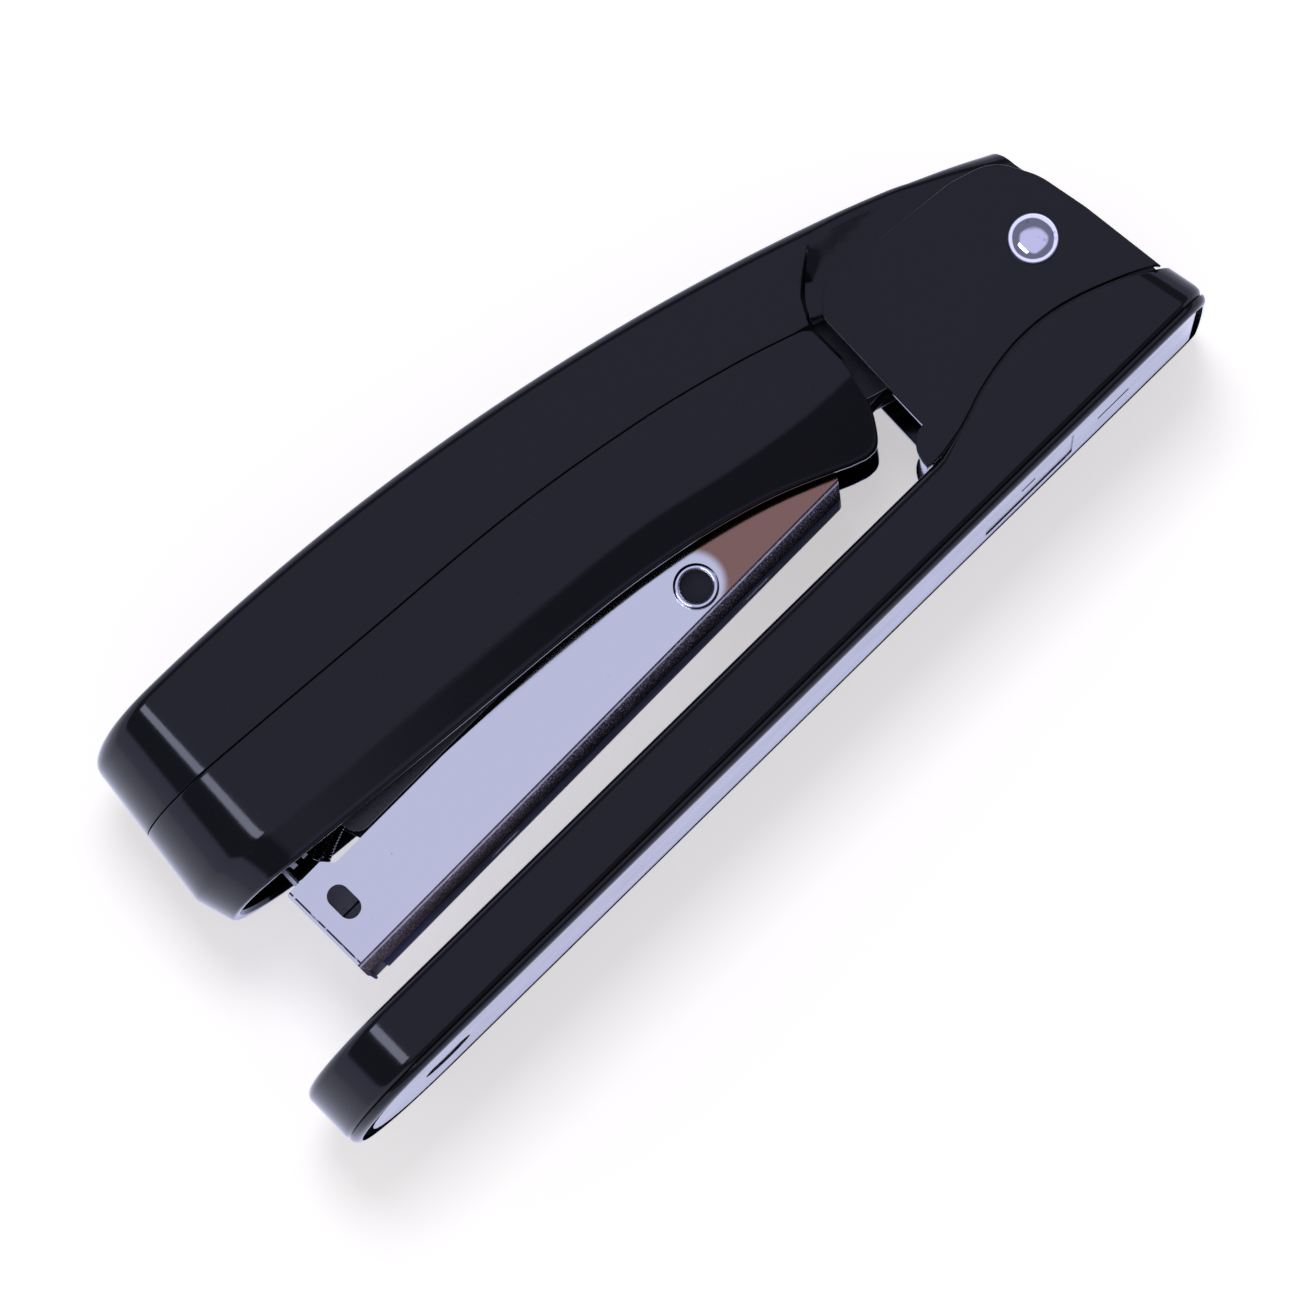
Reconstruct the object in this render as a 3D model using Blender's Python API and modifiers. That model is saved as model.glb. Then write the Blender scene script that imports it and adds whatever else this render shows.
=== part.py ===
"""Half-strip desk stapler, modelled as an assembly of separate pieces.

Frame: +X runs to the hinge end, -X to the nose, +Z up, and Y across the width. The origin lies
under the middle of the base, on the surface that it stands on. The pieces are placed at rest:
handle raised by its spring, magazine clear of the anvil, pusher at the front, nothing loaded.
Lengths in the code are millimetres; MM turns them into Blender's metres as a mesh is made.
"""

import math

import bmesh
import bpy
from mathutils import Matrix, Vector

MM = 0.001
GAP = 0.3

# ---- driving dimensions -------------------------------------------------------------------------
BASE_FRONT = -75.5
BASE_REAR = 75.5
BASE_HALF_WIDTH = 18.0
DECK_Z = 9.3
DECK_THICKNESS = 1.7
BASE_NOSE_LENGTH = 15.5
REAR_BOW = 0.25

PIVOT_X = 65.0
PIVOT_Z = 20.8
PIN_RADIUS = 1.75
PIN_HEAD_RADIUS = 3.1
PIN_HEAD_HEIGHT = 1.7

EAR_OUTER_Y = 17.8
EAR_INNER_Y = 15.2

HANDLE_HALF_WIDTH = 16.1
HANDLE_NOSE_X = -53.5
HANDLE_NOSE_LENGTH = 14.7
HANDLE_RIDGE_Z = 36.6
HANDLE_NOSE_LEAN = 0.12
HANDLE_REAR_X = 72.9
HANDLE_WALL = 1.7
NECK_HALF_WIDTH = 14.7
SHOULDER_RADIUS = 28.8

MAGAZINE_PITCH = math.radians(-0.95)
CHANNEL_FRONT = -124.45
CHANNEL_END = -38.0
CHANNEL_HALF_WIDTH = 7.5
CHANNEL_WALL = 0.7
CHANNEL_BOTTOM = -4.85
CHANNEL_TOP = 7.4
TAB_TOP = 9.7
RAIL_FRONT = -122.3
RAIL_END = -65.0
RAIL_TOP = 1.8
RAIL_HALF_WIDTH = 5.85
EYELET_X = -60.35
EYELET_Z = 0.25

ANVIL_X = -59.3
ANVIL_TOP = 9.7
ANVIL_RADIUS = 11.6
BUTTON_RADIUS = 3.4

ROD_Z = -0.9
SCREW_X = -84.0
WEB_FRONT = (-121.6, 20.4)
WEB_REAR = (-28.0, 15.6)
BLADE_TILT = math.radians(2.1)
BLADE_TIP = (-122.95, 2.5)

# ---- curves in side view: (x, z) where the shape turns, joined smoothly --------------------------
SIDE_SEAM = [(-70, 46.9), (-56, 46.2), (-30, 44.3), (-5, 42.3), (15, 39.1), (28, 35.9), (37, 33.0)]
SKIRT_CREASE = [
    (-70, 36.8), (-54, 35.3), (-30, 34.0), (-10, 32.2), (5, 30.4), (18, 27.5), (28, 25.9), (38, 25.3),
]
SKIRT_RIM = [
    (-70, 31.6), (-54, 30.0), (-30, 27.9), (-10, 26.3), (0, 25.2), (10, 23.4), (20, 20.6), (31, 16.0),
]
COVER_REAR_RIM = [(39.2, 32.7), (50, 24.0), (58, 16.8), (64, 15.2), (70, 16.0), (73.5, 18.3)]
BASE_REAR_SEAM = [(37.5, 9.3), (42, 10.1), (48, 12.0), (55, 13.0), (62, 12.2), (70, 9.3), (75.5, 6.5)]
TOP_ARC_X = -54.0
TOP_ARC_Z = 58.8
TOP_ARC_RADIUS = 310.0


# ---- small tools --------------------------------------------------------------------------------
def clear_scene():
    for obj in list(bpy.data.objects):
        bpy.data.objects.remove(obj, do_unlink=True)


def new_collection(name, hidden=False):
    collection = bpy.data.collections.new(name)
    bpy.context.scene.collection.children.link(collection)
    collection.hide_render = hidden
    return collection


def finish(name, colour, roughness, metallic):
    material = bpy.data.materials.new(name)
    material.use_nodes = True
    shader = material.node_tree.nodes["Principled BSDF"]
    shader.inputs["Base Color"].default_value = (*colour, 1.0)
    shader.inputs["Roughness"].default_value = roughness
    shader.inputs["Metallic"].default_value = metallic
    return material


def smooth_curve(knots):
    """z(x) through the knots, with the slope at each one taken from its neighbours."""
    count = len(knots)
    slopes = []
    for i in range(count):
        before = knots[max(i - 1, 0)]
        after = knots[min(i + 1, count - 1)]
        slopes.append((after[1] - before[1]) / (after[0] - before[0]))

    def at(x):
        x = min(max(x, knots[0][0]), knots[-1][0])
        i = 0
        while i < count - 2 and x > knots[i + 1][0]:
            i += 1
        (x0, z0), (x1, z1) = knots[i], knots[i + 1]
        step = x1 - x0
        t = (x - x0) / step
        return (
            z0 * (1 + 2 * t) * (1 - t) ** 2
            + slopes[i] * step * t * (1 - t) ** 2
            + z1 * t * t * (3 - 2 * t)
            + slopes[i + 1] * step * t * t * (t - 1)
        )

    return at


def spread(start, end, count):
    return [start + (end - start) * i / (count - 1) for i in range(count)]


def rounded(corners, steps=5):
    """Outline through (x, z, radius) corners, each turned on an arc of its radius."""
    outline = []
    count = len(corners)
    for i, (x, z, radius) in enumerate(corners):
        here = Vector((x, z))
        if radius <= 0:
            outline.append(here)
            continue
        to_last = (Vector(corners[i - 1][:2]) - here).normalized()
        to_next = (Vector(corners[(i + 1) % count][:2]) - here).normalized()
        half = to_last.angle(to_next) / 2
        reach = radius / math.tan(half)
        centre = here + (to_last + to_next).normalized() * radius / math.sin(half)
        first = here + to_last * reach - centre
        turn = first.angle_signed(here + to_next * reach - centre)
        for k in range(steps + 1):
            angle = -turn * k / steps
            c, s = math.cos(angle), math.sin(angle)
            outline.append(centre + Vector((c * first.x - s * first.y, s * first.x + c * first.y)))
    return outline


def strip(path, thickness):
    """Outline of sheet metal of one thickness that follows a path in its plane."""
    left, right = [], []
    for i, (u, v) in enumerate(path):
        before = Vector(path[max(i - 1, 0)])
        after = Vector(path[min(i + 1, len(path) - 1)])
        along = (after - before).normalized()
        left.append((u - along.y * thickness / 2, v + along.x * thickness / 2))
        right.append((u + along.y * thickness / 2, v - along.x * thickness / 2))
    return left + right[::-1]


def mesh_from(name, bm, material, collection):
    bmesh.ops.recalc_face_normals(bm, faces=bm.faces)
    mesh = bpy.data.meshes.new(name)
    bm.to_mesh(mesh)
    bm.free()
    mesh.shade_smooth()
    mesh.set_sharp_from_angle(angle=math.radians(35))
    obj = bpy.data.objects.new(name, mesh)
    if material:
        mesh.materials.append(material)
    collection.objects.link(obj)
    return obj


def baked(obj, name, material, collection):
    """The object's evaluated shape as a plain mesh object, which takes its place."""
    bpy.context.view_layer.update()
    graph = bpy.context.evaluated_depsgraph_get()
    mesh = bpy.data.meshes.new_from_object(obj.evaluated_get(graph))
    bm = bmesh.new()
    bm.from_mesh(mesh)
    bmesh.ops.transform(bm, matrix=obj.matrix_world, verts=bm.verts)
    bmesh.ops.remove_doubles(bm, verts=bm.verts, dist=1e-6)
    bpy.data.objects.remove(obj)
    bpy.data.meshes.remove(mesh)
    return mesh_from(name, bm, material, collection)


class Workshop:
    """Makes pieces in one collection and one finish."""

    def __init__(self, collection, material):
        self.collection = collection
        self.material = material

    def box(self, name, low, high):
        bm = bmesh.new()
        size = [(b - a) * MM for a, b in zip(low, high)]
        middle = [(a + b) / 2 * MM for a, b in zip(low, high)]
        bmesh.ops.create_cube(bm, size=1.0)
        bmesh.ops.scale(bm, vec=size, verts=bm.verts)
        bmesh.ops.translate(bm, vec=middle, verts=bm.verts)
        return mesh_from(name, bm, self.material, self.collection)

    def rod(self, name, radius, start, end, sides=24):
        """A round bar between two points."""
        a, b = Vector(start) * MM, Vector(end) * MM
        turn = (b - a).to_track_quat("Z", "Y").to_matrix().to_4x4()
        bm = bmesh.new()
        bmesh.ops.create_cone(
            bm, cap_ends=True, segments=sides, radius1=radius * MM, radius2=radius * MM,
            depth=(b - a).length, matrix=Matrix.Translation((a + b) / 2) @ turn,
        )
        return mesh_from(name, bm, self.material, self.collection)

    def slab(self, name, outline, low, high, plane="XZ"):
        """A flat outline given a thickness, from low to high across its plane."""
        curve = bpy.data.curves.new(name + "_outline", "CURVE")
        curve.dimensions = "2D"
        curve.fill_mode = "BOTH"
        curve.extrude = (high - low) / 2 * MM
        spline = curve.splines.new("POLY")
        spline.points.add(len(outline) - 1)
        for point, (u, v) in zip(spline.points, outline):
            point.co = (u * MM, v * MM, 0, 1)
        spline.use_cyclic_u = True
        obj = bpy.data.objects.new(name + "_outline", curve)
        self.collection.objects.link(obj)
        middle = (low + high) / 2 * MM
        if plane == "XZ":
            obj.matrix_world = Matrix.Translation((0, middle, 0)) @ Matrix.Rotation(math.pi / 2, 4, "X")
        elif plane == "YZ":
            stand = Matrix(((0, 0, 1, 0), (1, 0, 0, 0), (0, 1, 0, 0), (0, 0, 0, 1)))
            obj.matrix_world = Matrix.Translation((middle, 0, 0)) @ stand
        else:
            obj.location = (0, 0, middle)
        return baked(obj, name, self.material, self.collection)

    def turned(self, name, profile, centre, axis, steps=32):
        """A turned piece: (radius, height) profile swept round the axis through centre."""
        bm = bmesh.new()
        points = [bm.verts.new((r * MM, 0, h * MM)) for r, h in profile]
        for a, b in zip(points, points[1:]):
            bm.edges.new((a, b))
        if profile[0][0] > 0:
            bm.edges.new((points[-1], points[0]))
        mesh = bpy.data.meshes.new(name + "_profile")
        bm.to_mesh(mesh)
        bm.free()
        obj = bpy.data.objects.new(name + "_profile", mesh)
        self.collection.objects.link(obj)
        screw = obj.modifiers.new("Screw", "SCREW")
        screw.steps = steps
        screw.render_steps = steps
        screw.use_merge_vertices = True
        screw.merge_threshold = 1e-6
        turn = Vector(axis).to_track_quat("Z", "Y").to_matrix().to_4x4()
        obj.matrix_world = Matrix.Translation(Vector(centre) * MM) @ turn
        return baked(obj, name, self.material, self.collection)

    def wire(self, name, points, radius):
        """A wire along the points."""
        curve = bpy.data.curves.new(name + "_path", "CURVE")
        curve.dimensions = "3D"
        curve.bevel_depth = radius * MM
        curve.bevel_resolution = 2
        curve.use_fill_caps = True
        spline = curve.splines.new("POLY")
        spline.points.add(len(points) - 1)
        for point, place in zip(spline.points, points):
            point.co = (*[value * MM for value in place], 1)
        obj = bpy.data.objects.new(name + "_path", curve)
        self.collection.objects.link(obj)
        return baked(obj, name, self.material, self.collection)

    def loft(self, name, sections, closed=False):
        """A skin over equal sections; the two ends are capped, or joined when closed."""
        bm = bmesh.new()
        rows = [[bm.verts.new([value * MM for value in p]) for p in section] for section in sections]
        width = len(rows[0])
        last = len(rows) if closed else len(rows) - 1
        for i in range(last):
            a, b = rows[i], rows[(i + 1) % len(rows)]
            for k in range(width):
                n = (k + 1) % width
                bm.faces.new((a[k], a[n], b[n], b[k]))
        if not closed:
            bm.faces.new(rows[0])
            bm.faces.new(rows[-1])
        bmesh.ops.triangulate(bm, faces=bm.faces)
        return mesh_from(name, bm, self.material, self.collection)

    def lid(self, name, rings):
        """A skin over closed rings that mirror across Y, each end closed by a ladder of faces."""
        bm = bmesh.new()
        rows = [[bm.verts.new([value * MM for value in p]) for p in ring] for ring in rings]
        width = len(rows[0])
        for a, b in zip(rows, rows[1:]):
            for k in range(width):
                n = (k + 1) % width
                bm.faces.new((a[k], a[n], b[n], b[k]))
        for row in (rows[0], rows[-1]):
            bm.faces.new((row[0], row[1], row[-1]))
            for k in range(1, width // 2 - 1):
                bm.faces.new((row[k], row[k + 1], row[-k - 1], row[-k]))
            half = width // 2
            bm.faces.new((row[half - 1], row[half], row[half + 1]))
        bmesh.ops.triangulate(bm, faces=bm.faces)
        return mesh_from(name, bm, self.material, self.collection)


def cut(piece, *cutters, operation="DIFFERENCE"):
    for cutter in cutters:
        change = piece.modifiers.new(cutter.name, "BOOLEAN")
        change.operation = operation
        change.object = cutter
        cutter.hide_render = True
        cutter.display_type = "WIRE"


def join(piece, *others):
    cut(piece, *others, operation="UNION")


def soften(piece, width, angle=40, segments=2):
    bevel = piece.modifiers.new("Bevel", "BEVEL")
    bevel.width = width * MM
    bevel.segments = segments
    bevel.limit_method = "ANGLE"
    bevel.angle_limit = math.radians(angle)


def helix(radius, pitch_start, pitch_end, turns, place, points_per_turn=10):
    """Points of a coil; place(a, b, along) sets where a point of it goes."""
    count = int(turns * points_per_turn) + 1
    points = []
    for i in range(count):
        angle = 2 * math.pi * i / points_per_turn
        along = pitch_start + (pitch_end - pitch_start) * i / (count - 1)
        points.append(place(radius * math.cos(angle), radius * math.sin(angle), along))
    return points


# ---- outer forms --------------------------------------------------------------------------------
def oval_nose(half_width, length, power, count):
    """Plan of a rounded nose: (distance ahead of its centre, offset across), from tip to side."""
    quarter = []
    for angle in spread(0, math.pi / 2, count):
        ahead = length * math.cos(angle) ** (2 / power) if angle < math.pi / 2 else 0.0
        across = half_width * math.sin(angle) ** (2 / power) if angle > 0 else 0.0
        quarter.append((ahead, across))
    return quarter


def handle_top(x):
    """Height of the handle's upper edge line."""
    run = x - TOP_ARC_X
    arc = TOP_ARC_Z - (TOP_ARC_RADIUS - math.sqrt(TOP_ARC_RADIUS**2 - run * run))
    return TOP_ARC_Z if run < 0 else arc


def shoulder_x(z):
    """Where the handle steps in to pass between the ears: an arc about the hinge pin."""
    rise = min(max(z - PIVOT_Z, 0.0), SHOULDER_RADIUS - 1)
    return PIVOT_X - math.sqrt(SHOULDER_RADIUS**2 - rise * rise)


def handle_half_width(z):
    """Side draft: the handle narrows a little towards its top."""
    return HANDLE_HALF_WIDTH - 0.02 * max(z - 35.0, 0.0)


def neck_depth(z):
    """How far the sides step in behind the shoulder, fading out near the top."""
    fade = min(max((40.5 - z) / 4.0, 0.0), 1.0)
    return (handle_half_width(z) - NECK_HALF_WIDTH) * fade


def handle_ring(height_at, inset, nose_steps=9, front_steps=13, neck_steps=9, rear_steps=4):
    """One ring round the handle, at the height that height_at(x) gives, moved inwards by inset."""
    half = []
    length = HANDLE_NOSE_LENGTH - inset
    for ahead, across in oval_nose(1.0, 1.0, 2.1, nose_steps):
        x = HANDLE_NOSE_X - length * ahead
        z = height_at(x)
        lean = HANDLE_NOSE_LEAN * (z - HANDLE_RIDGE_Z)
        half.append((x + lean * ahead, across * (handle_half_width(z) - inset), z))
    edge = shoulder_x(height_at(43.0))
    for x in spread(HANDLE_NOSE_X, edge, front_steps)[1:]:
        z = height_at(x)
        half.append((x, handle_half_width(z) - inset, z))
    rear = HANDLE_REAR_X - inset
    corner = 3.0
    for x in spread(edge + 0.6, rear - corner, neck_steps):
        z = height_at(x)
        half.append((x, handle_half_width(z) - neck_depth(z) - inset, z))
    for angle in spread(0, math.pi / 2, rear_steps)[1:]:
        x = rear - REAR_BOW - corner + corner * math.sin(angle)
        z = height_at(x)
        lean = 0.25 * (z - 18.5) * math.sin(angle)
        width = handle_half_width(z) - neck_depth(z) - inset
        half.append((x - lean, width - corner * (1 - math.cos(angle)), z))
    last_x, _, last_z = half[-1]
    half.append((last_x + REAR_BOW, 0.0, last_z))
    return half + [(x, -y, z) for x, y, z in half[-2:0:-1]]


def base_ring(height_at, inset, nose_steps=9, side_steps=15, rear_steps=5):
    """One ring round the base, at the height that height_at(x) gives, moved inwards by inset."""
    half = []
    length = BASE_NOSE_LENGTH - inset
    centre = BASE_FRONT + BASE_NOSE_LENGTH
    for ahead, across in oval_nose(BASE_HALF_WIDTH - inset, length, 2.1, nose_steps):
        x = centre - ahead
        half.append((x, across, height_at(x)))
    corner = 4.0 - min(inset, 2.0)
    rear = BASE_REAR - inset
    for x in [*spread(centre, 37.0, 6)[1:], *spread(37.0, rear - corner, side_steps)[1:]]:
        half.append((x, BASE_HALF_WIDTH - inset, height_at(x)))
    for angle in spread(0, math.pi / 2, rear_steps)[1:]:
        x = rear - REAR_BOW - corner + corner * math.sin(angle)
        half.append((x, BASE_HALF_WIDTH - inset - corner * (1 - math.cos(angle)), height_at(x)))
    half.append((rear, 0.0, height_at(rear)))
    return half + [(x, -y, z) for x, y, z in half[-2:0:-1]]


# ---- base ---------------------------------------------------------------------------------------
def base_top(x):
    seam = smooth_curve(BASE_REAR_SEAM)
    return DECK_Z if x < BASE_REAR_SEAM[0][0] else seam(x)


def make_base_shell(shop, cutters):
    edge = 1.2
    rings = [base_ring(lambda x: 0.0, 1.0), base_ring(lambda x: 0.3, 0.3), base_ring(lambda x: 1.0, 0.0)]
    for angle in spread(0, math.pi / 2, 4):
        drop = edge * (1 - math.sin(angle))
        rings.append(base_ring(lambda x: base_top(x) - drop, edge * (1 - math.cos(angle))))
    shell = shop.lid("base_shell", rings)
    below = cutters.lid("base_bottom_recess", [base_ring(lambda x: z, 1.6) for z in (-1.0, 1.4)])
    ceiling = DECK_Z - DECK_THICKNESS
    hollow = cutters.box("base_hollow", (-48, -16.2, 1.0), (35.6, 16.2, ceiling))
    post_room = cutters.rod("base_post_room", 5.0, (ANVIL_X, 0, 1.0), (ANVIL_X, 0, ceiling))
    pocket = cutters.box("base_housing_pocket", (37.2, -16.3, 1.0), (73.7, 16.3, 20.0))
    recess = cutters.rod("anvil_recess", ANVIL_RADIUS + 0.4, (ANVIL_X, 0, 8.4), (ANVIL_X, 0, 12), 48)
    hole = cutters.rod("anvil_post_hole", 2.3, (ANVIL_X, 0, 0), (ANVIL_X, 0, 12))
    cut(shell, below, hollow, post_room, pocket, recess, hole)
    return shell


def make_bottom_plate(shop, cutters):
    half = BASE_HALF_WIDTH - 1.9
    rear = BASE_REAR - REAR_BOW - 1.9
    centre = BASE_FRONT + BASE_NOSE_LENGTH
    nose = oval_nose(half, BASE_NOSE_LENGTH - 3.0, 2.1, 9)
    outline = [(centre - ahead, -across) for ahead, across in nose]
    outline += rounded([(centre, -half, 0), (rear, -half, 2.2), (rear, half, 2.2), (centre, half, 0)])[1:-1]
    outline += [(centre - ahead, across) for ahead, across in nose[:0:-1]]
    plate = shop.slab("bottom_plate", outline, 0.1, 1.1, "XY")
    button = cutters.rod("plate_button_hole", BUTTON_RADIUS + 0.5, (ANVIL_X, 0, -1), (ANVIL_X, 0, 3))
    opening = rounded([(36.5, -11, 1), (52, -11, 1), (52, 11, 1), (36.5, 11, 1)], 3)
    window = cutters.slab("plate_window", opening, -1, 0.25, "XY")
    cut(plate, button, window)
    for i, (x, length) in enumerate(((44.2, 2.4), (59.2, 5.5))):
        slot = cutters.box(f"plate_slot_{i}", (x - length / 2, -0.9, -1), (x + length / 2, 0.9, 3))
        cut(plate, slot)
    return plate


def ear_outline():
    seam = smooth_curve(BASE_REAR_SEAM)
    top = rounded(
        [
            (74.0, 7.0 + GAP, 0), (72.55, 19.0, 14), (71.2, 26.0, 10), (68.3, 31.4, 6), (62.5, 33.2, 8),
            (42.0, 35.2, 3.2), (39.2, 32.2, 2.5), (38.7, 13.8, 0),
        ]
    )
    sweep = []
    for angle in spread(0, math.pi / 2, 5)[1:]:
        sweep.append((38.6 - 3.3 * math.sin(angle), 13.8 - 4.2 * (1 - math.cos(angle))))
    foot = [(x, seam(x) + GAP) for x in spread(36.5, 73.6, 12)]
    return [*top, *sweep, *foot]


def make_housing(shop, cutters):
    """Two ears joined by a front wall and a floor: one moulding that drops into the base."""
    outline = ear_outline()
    housing = shop.slab("hinge_housing", outline, EAR_INNER_Y, EAR_OUTER_Y)
    soften(housing, 0.7)
    far = cutters.slab("housing_far_ear", outline, -EAR_OUTER_Y, -EAR_INNER_Y)
    soften(far, 0.7)
    skirt = [(37.5, 1.7), (73.4, 1.7), (73.4, 8.0), (68, 14), (55, 16), (42, 14), (37.5, 9.0)]
    near_skirt = cutters.slab("housing_near_skirt", skirt, EAR_INNER_Y - 0.25, 16.0)
    far_skirt = cutters.slab("housing_far_skirt", skirt, -16.0, -EAR_INNER_Y + 0.25)
    floor = cutters.box("housing_floor", (37.6, -15.6, 1.8), (73.25, 15.6, 3.3))
    wall = [(36.4, 9.7), (37.7, 9.7), (37.7, 1.9), (39.5, 1.9), (39.5, 13.3)]
    for angle in spread(0, math.pi / 2, 5)[:-1]:
        wall.append((38.9 - 2.9 * math.sin(angle), 13.5 - 3.6 * (1 - math.cos(angle))))
    front = cutters.slab("housing_front_wall", wall, -15.5, 15.5)
    rear = cutters.box("housing_rear_wall", (72.1, -15.6, 2.0), (73.1, 15.6, 7.5))
    join(housing, near_skirt, far_skirt, floor, front, rear, far)
    ends = [(PIVOT_X, y, PIVOT_Z) for y in (-20, 20)]
    pin_hole = cutters.rod("housing_pin_hole", PIN_RADIUS + GAP, *ends)
    cut(housing, pin_hole)
    return housing


def make_pin(shop):
    """A shaft with a domed head, and the domed cap pressed on its far end."""
    face = EAR_OUTER_Y + 0.1
    dome = []
    for angle in spread(0, math.pi / 2, 7):
        dome.append((PIN_HEAD_RADIUS * math.cos(angle), face + PIN_HEAD_HEIGHT * math.sin(angle)))
    dome[-1] = (0.0, face + PIN_HEAD_HEIGHT)
    head = dome[::-1]
    split = 15.0
    shaft = [(PIN_RADIUS, face), (PIN_RADIUS, -split), (0.0, -split)]
    centre = (PIVOT_X, 0, PIVOT_Z)
    pin = shop.turned("hinge_pin", head + shaft, centre, (0, -1, 0))
    stem = [(PIN_RADIUS, face), (PIN_RADIUS, split + GAP), (0.0, split + GAP)]
    cap = shop.turned("pin_cap", head + stem, centre, (0, 1, 0))
    return pin, cap


def make_return_spring(shop):
    """A bowed leaf between the housing floor and the underside of the magazine."""
    line = smooth_curve([(41.5, 3.9), (46, 4.0), (50, 7.2), (53.5, 13.0), (56, 15.9), (58.5, 15.2)])
    path = [(x, line(x)) for x in spread(41.5, 58.5, 16)]
    return shop.slab("return_spring", strip(path, 0.5), -4.0, 4.0)


def make_housing_screws(shop, cutters):
    screws = []
    for side, y in (("left", 9.0), ("right", -9.0)):
        head = [(0.0, 5.0), (1.6, 4.8), (2.4, 4.2), (2.4, 3.6), (0.0, 3.6)]
        screw = shop.turned(f"housing_screw_{side}", head, (68.5, y, 0), (0, 0, 1), 20)
        slot = cutters.box(f"screw_slot_{side}", (66.5, y - 0.3, 4.4), (70.5, y + 0.3, 6))
        cut(screw, slot)
        screws.append(screw)
    return screws


# ---- anvil --------------------------------------------------------------------------------------
def make_anvil(plate_shop, cutters):
    """A round-ended plate with two pairs of staple forming grooves, turned by hand."""
    half = ANVIL_RADIUS - 0.1
    outline = rounded([(-half, -5.5, 5.4), (half, -5.5, 5.4), (half, 5.5, 5.4), (-half, 5.5, 5.4)], 6)
    outline = [(ANVIL_X + u, v * 1.6) for u, v in outline]
    plate = plate_shop.slab("anvil_plate", outline, ANVIL_TOP - 1.0, ANVIL_TOP, "XY")
    for x, reach in ((-1.6, 4.6), (1.6, 3.0)):
        for side in (-1, 1):
            start = (ANVIL_X + x, side * reach, ANVIL_TOP + 0.45)
            end = (ANVIL_X + x, side * (reach + 3.4), ANVIL_TOP + 0.45)
            cut(plate, cutters.rod(f"anvil_groove_{x}_{side}", 0.9, start, end, 16))
    hole = cutters.rod("anvil_centre_hole", 1.5, (ANVIL_X, 0, 5), (ANVIL_X, 0, 12), 20)
    cut(plate, hole)
    return plate


def make_anvil_button(shop):
    top = ANVIL_TOP - 0.15
    profile = [
        (0.0, top), (1.2, top), (1.2, ANVIL_TOP - 1.0 - GAP), (1.9, ANVIL_TOP - 1.0 - GAP),
        (1.9, 2.2), (BUTTON_RADIUS, 2.2), (BUTTON_RADIUS, 0.9), (BUTTON_RADIUS - 0.5, 0.4), (0.0, 0.4),
    ]
    return shop.turned("anvil_button", profile, (ANVIL_X, 0, 0), (0, 0, 1), 28)


def make_anvil_spring(shop):
    coil = helix(2.75, 2.8, 7.1, 4, lambda a, b, z: (ANVIL_X + a, b, z), 10)
    return shop.wire("anvil_spring", coil, 0.25)


# ---- magazine, in its own frame: origin on the hinge pin, level along the rail ------------------
def make_channel(shop, cutters):
    """Bright steel channel with raised front cheeks and a closed front."""
    tab_end = CHANNEL_FRONT + 5.8
    outline = [
        (CHANNEL_FRONT, CHANNEL_BOTTOM), (CHANNEL_END - 1.5, CHANNEL_BOTTOM),
        (CHANNEL_END, CHANNEL_BOTTOM + 2.0), (CHANNEL_END, CHANNEL_TOP), (tab_end + 1.3, CHANNEL_TOP),
        (tab_end, TAB_TOP), (CHANNEL_FRONT, TAB_TOP),
    ]
    side = shop.slab("magazine_channel", outline, -CHANNEL_HALF_WIDTH, CHANNEL_HALF_WIDTH)
    bend = 1.9
    outer = CHANNEL_HALF_WIDTH
    foot = [(-outer, CHANNEL_BOTTOM, bend), (outer, CHANNEL_BOTTOM, bend)]
    section = rounded([*foot, (outer, 12, 0), (-outer, 12, 0)], 4)
    around = cutters.slab("channel_section", section, CHANNEL_FRONT - 2, CHANNEL_END + 2, "YZ")
    cut(side, around, operation="INTERSECT")
    inner = outer - CHANNEL_WALL
    floor = CHANNEL_BOTTOM + CHANNEL_WALL
    hollow = rounded([(-inner, floor, 1.2), (inner, floor, 1.2), (inner, 14, 0), (-inner, 14, 0)], 3)
    inside = cutters.slab("channel_hollow", hollow, CHANNEL_FRONT + 0.5, CHANNEL_END + 2, "YZ")
    exit_slot = cutters.box("channel_exit", (-123.9, -6.7, -8), (-121.9, 6.7, -3.5))
    cut(side, inside, exit_slot)
    for i, x in enumerate((-100.5, -54.9)):
        corners = [(x + u, v, 1.0) for u, v in ((-2.6, -1.1), (2.6, -1.1), (2.6, 1.1), (-2.6, 1.1))]
        cut(side, cutters.slab(f"channel_slot_{i}", rounded(corners, 4), -8, -3.5, "XY"))
    window = rounded([(-121.4, 1.5, 1.45), (-118.4, 1.5, 1.45), (-118.4, 6.4, 1.45), (-121.4, 6.4, 1.45)], 5)
    keyhole = cutters.slab("channel_window", window, -10, 0)
    ends = [(EYELET_X, y, EYELET_Z) for y in (-10, 10)]
    eyelet_hole = cutters.rod("channel_eyelet_hole", 2.75, *ends, 28)
    cut(side, keyhole, eyelet_hole)
    return side


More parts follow.
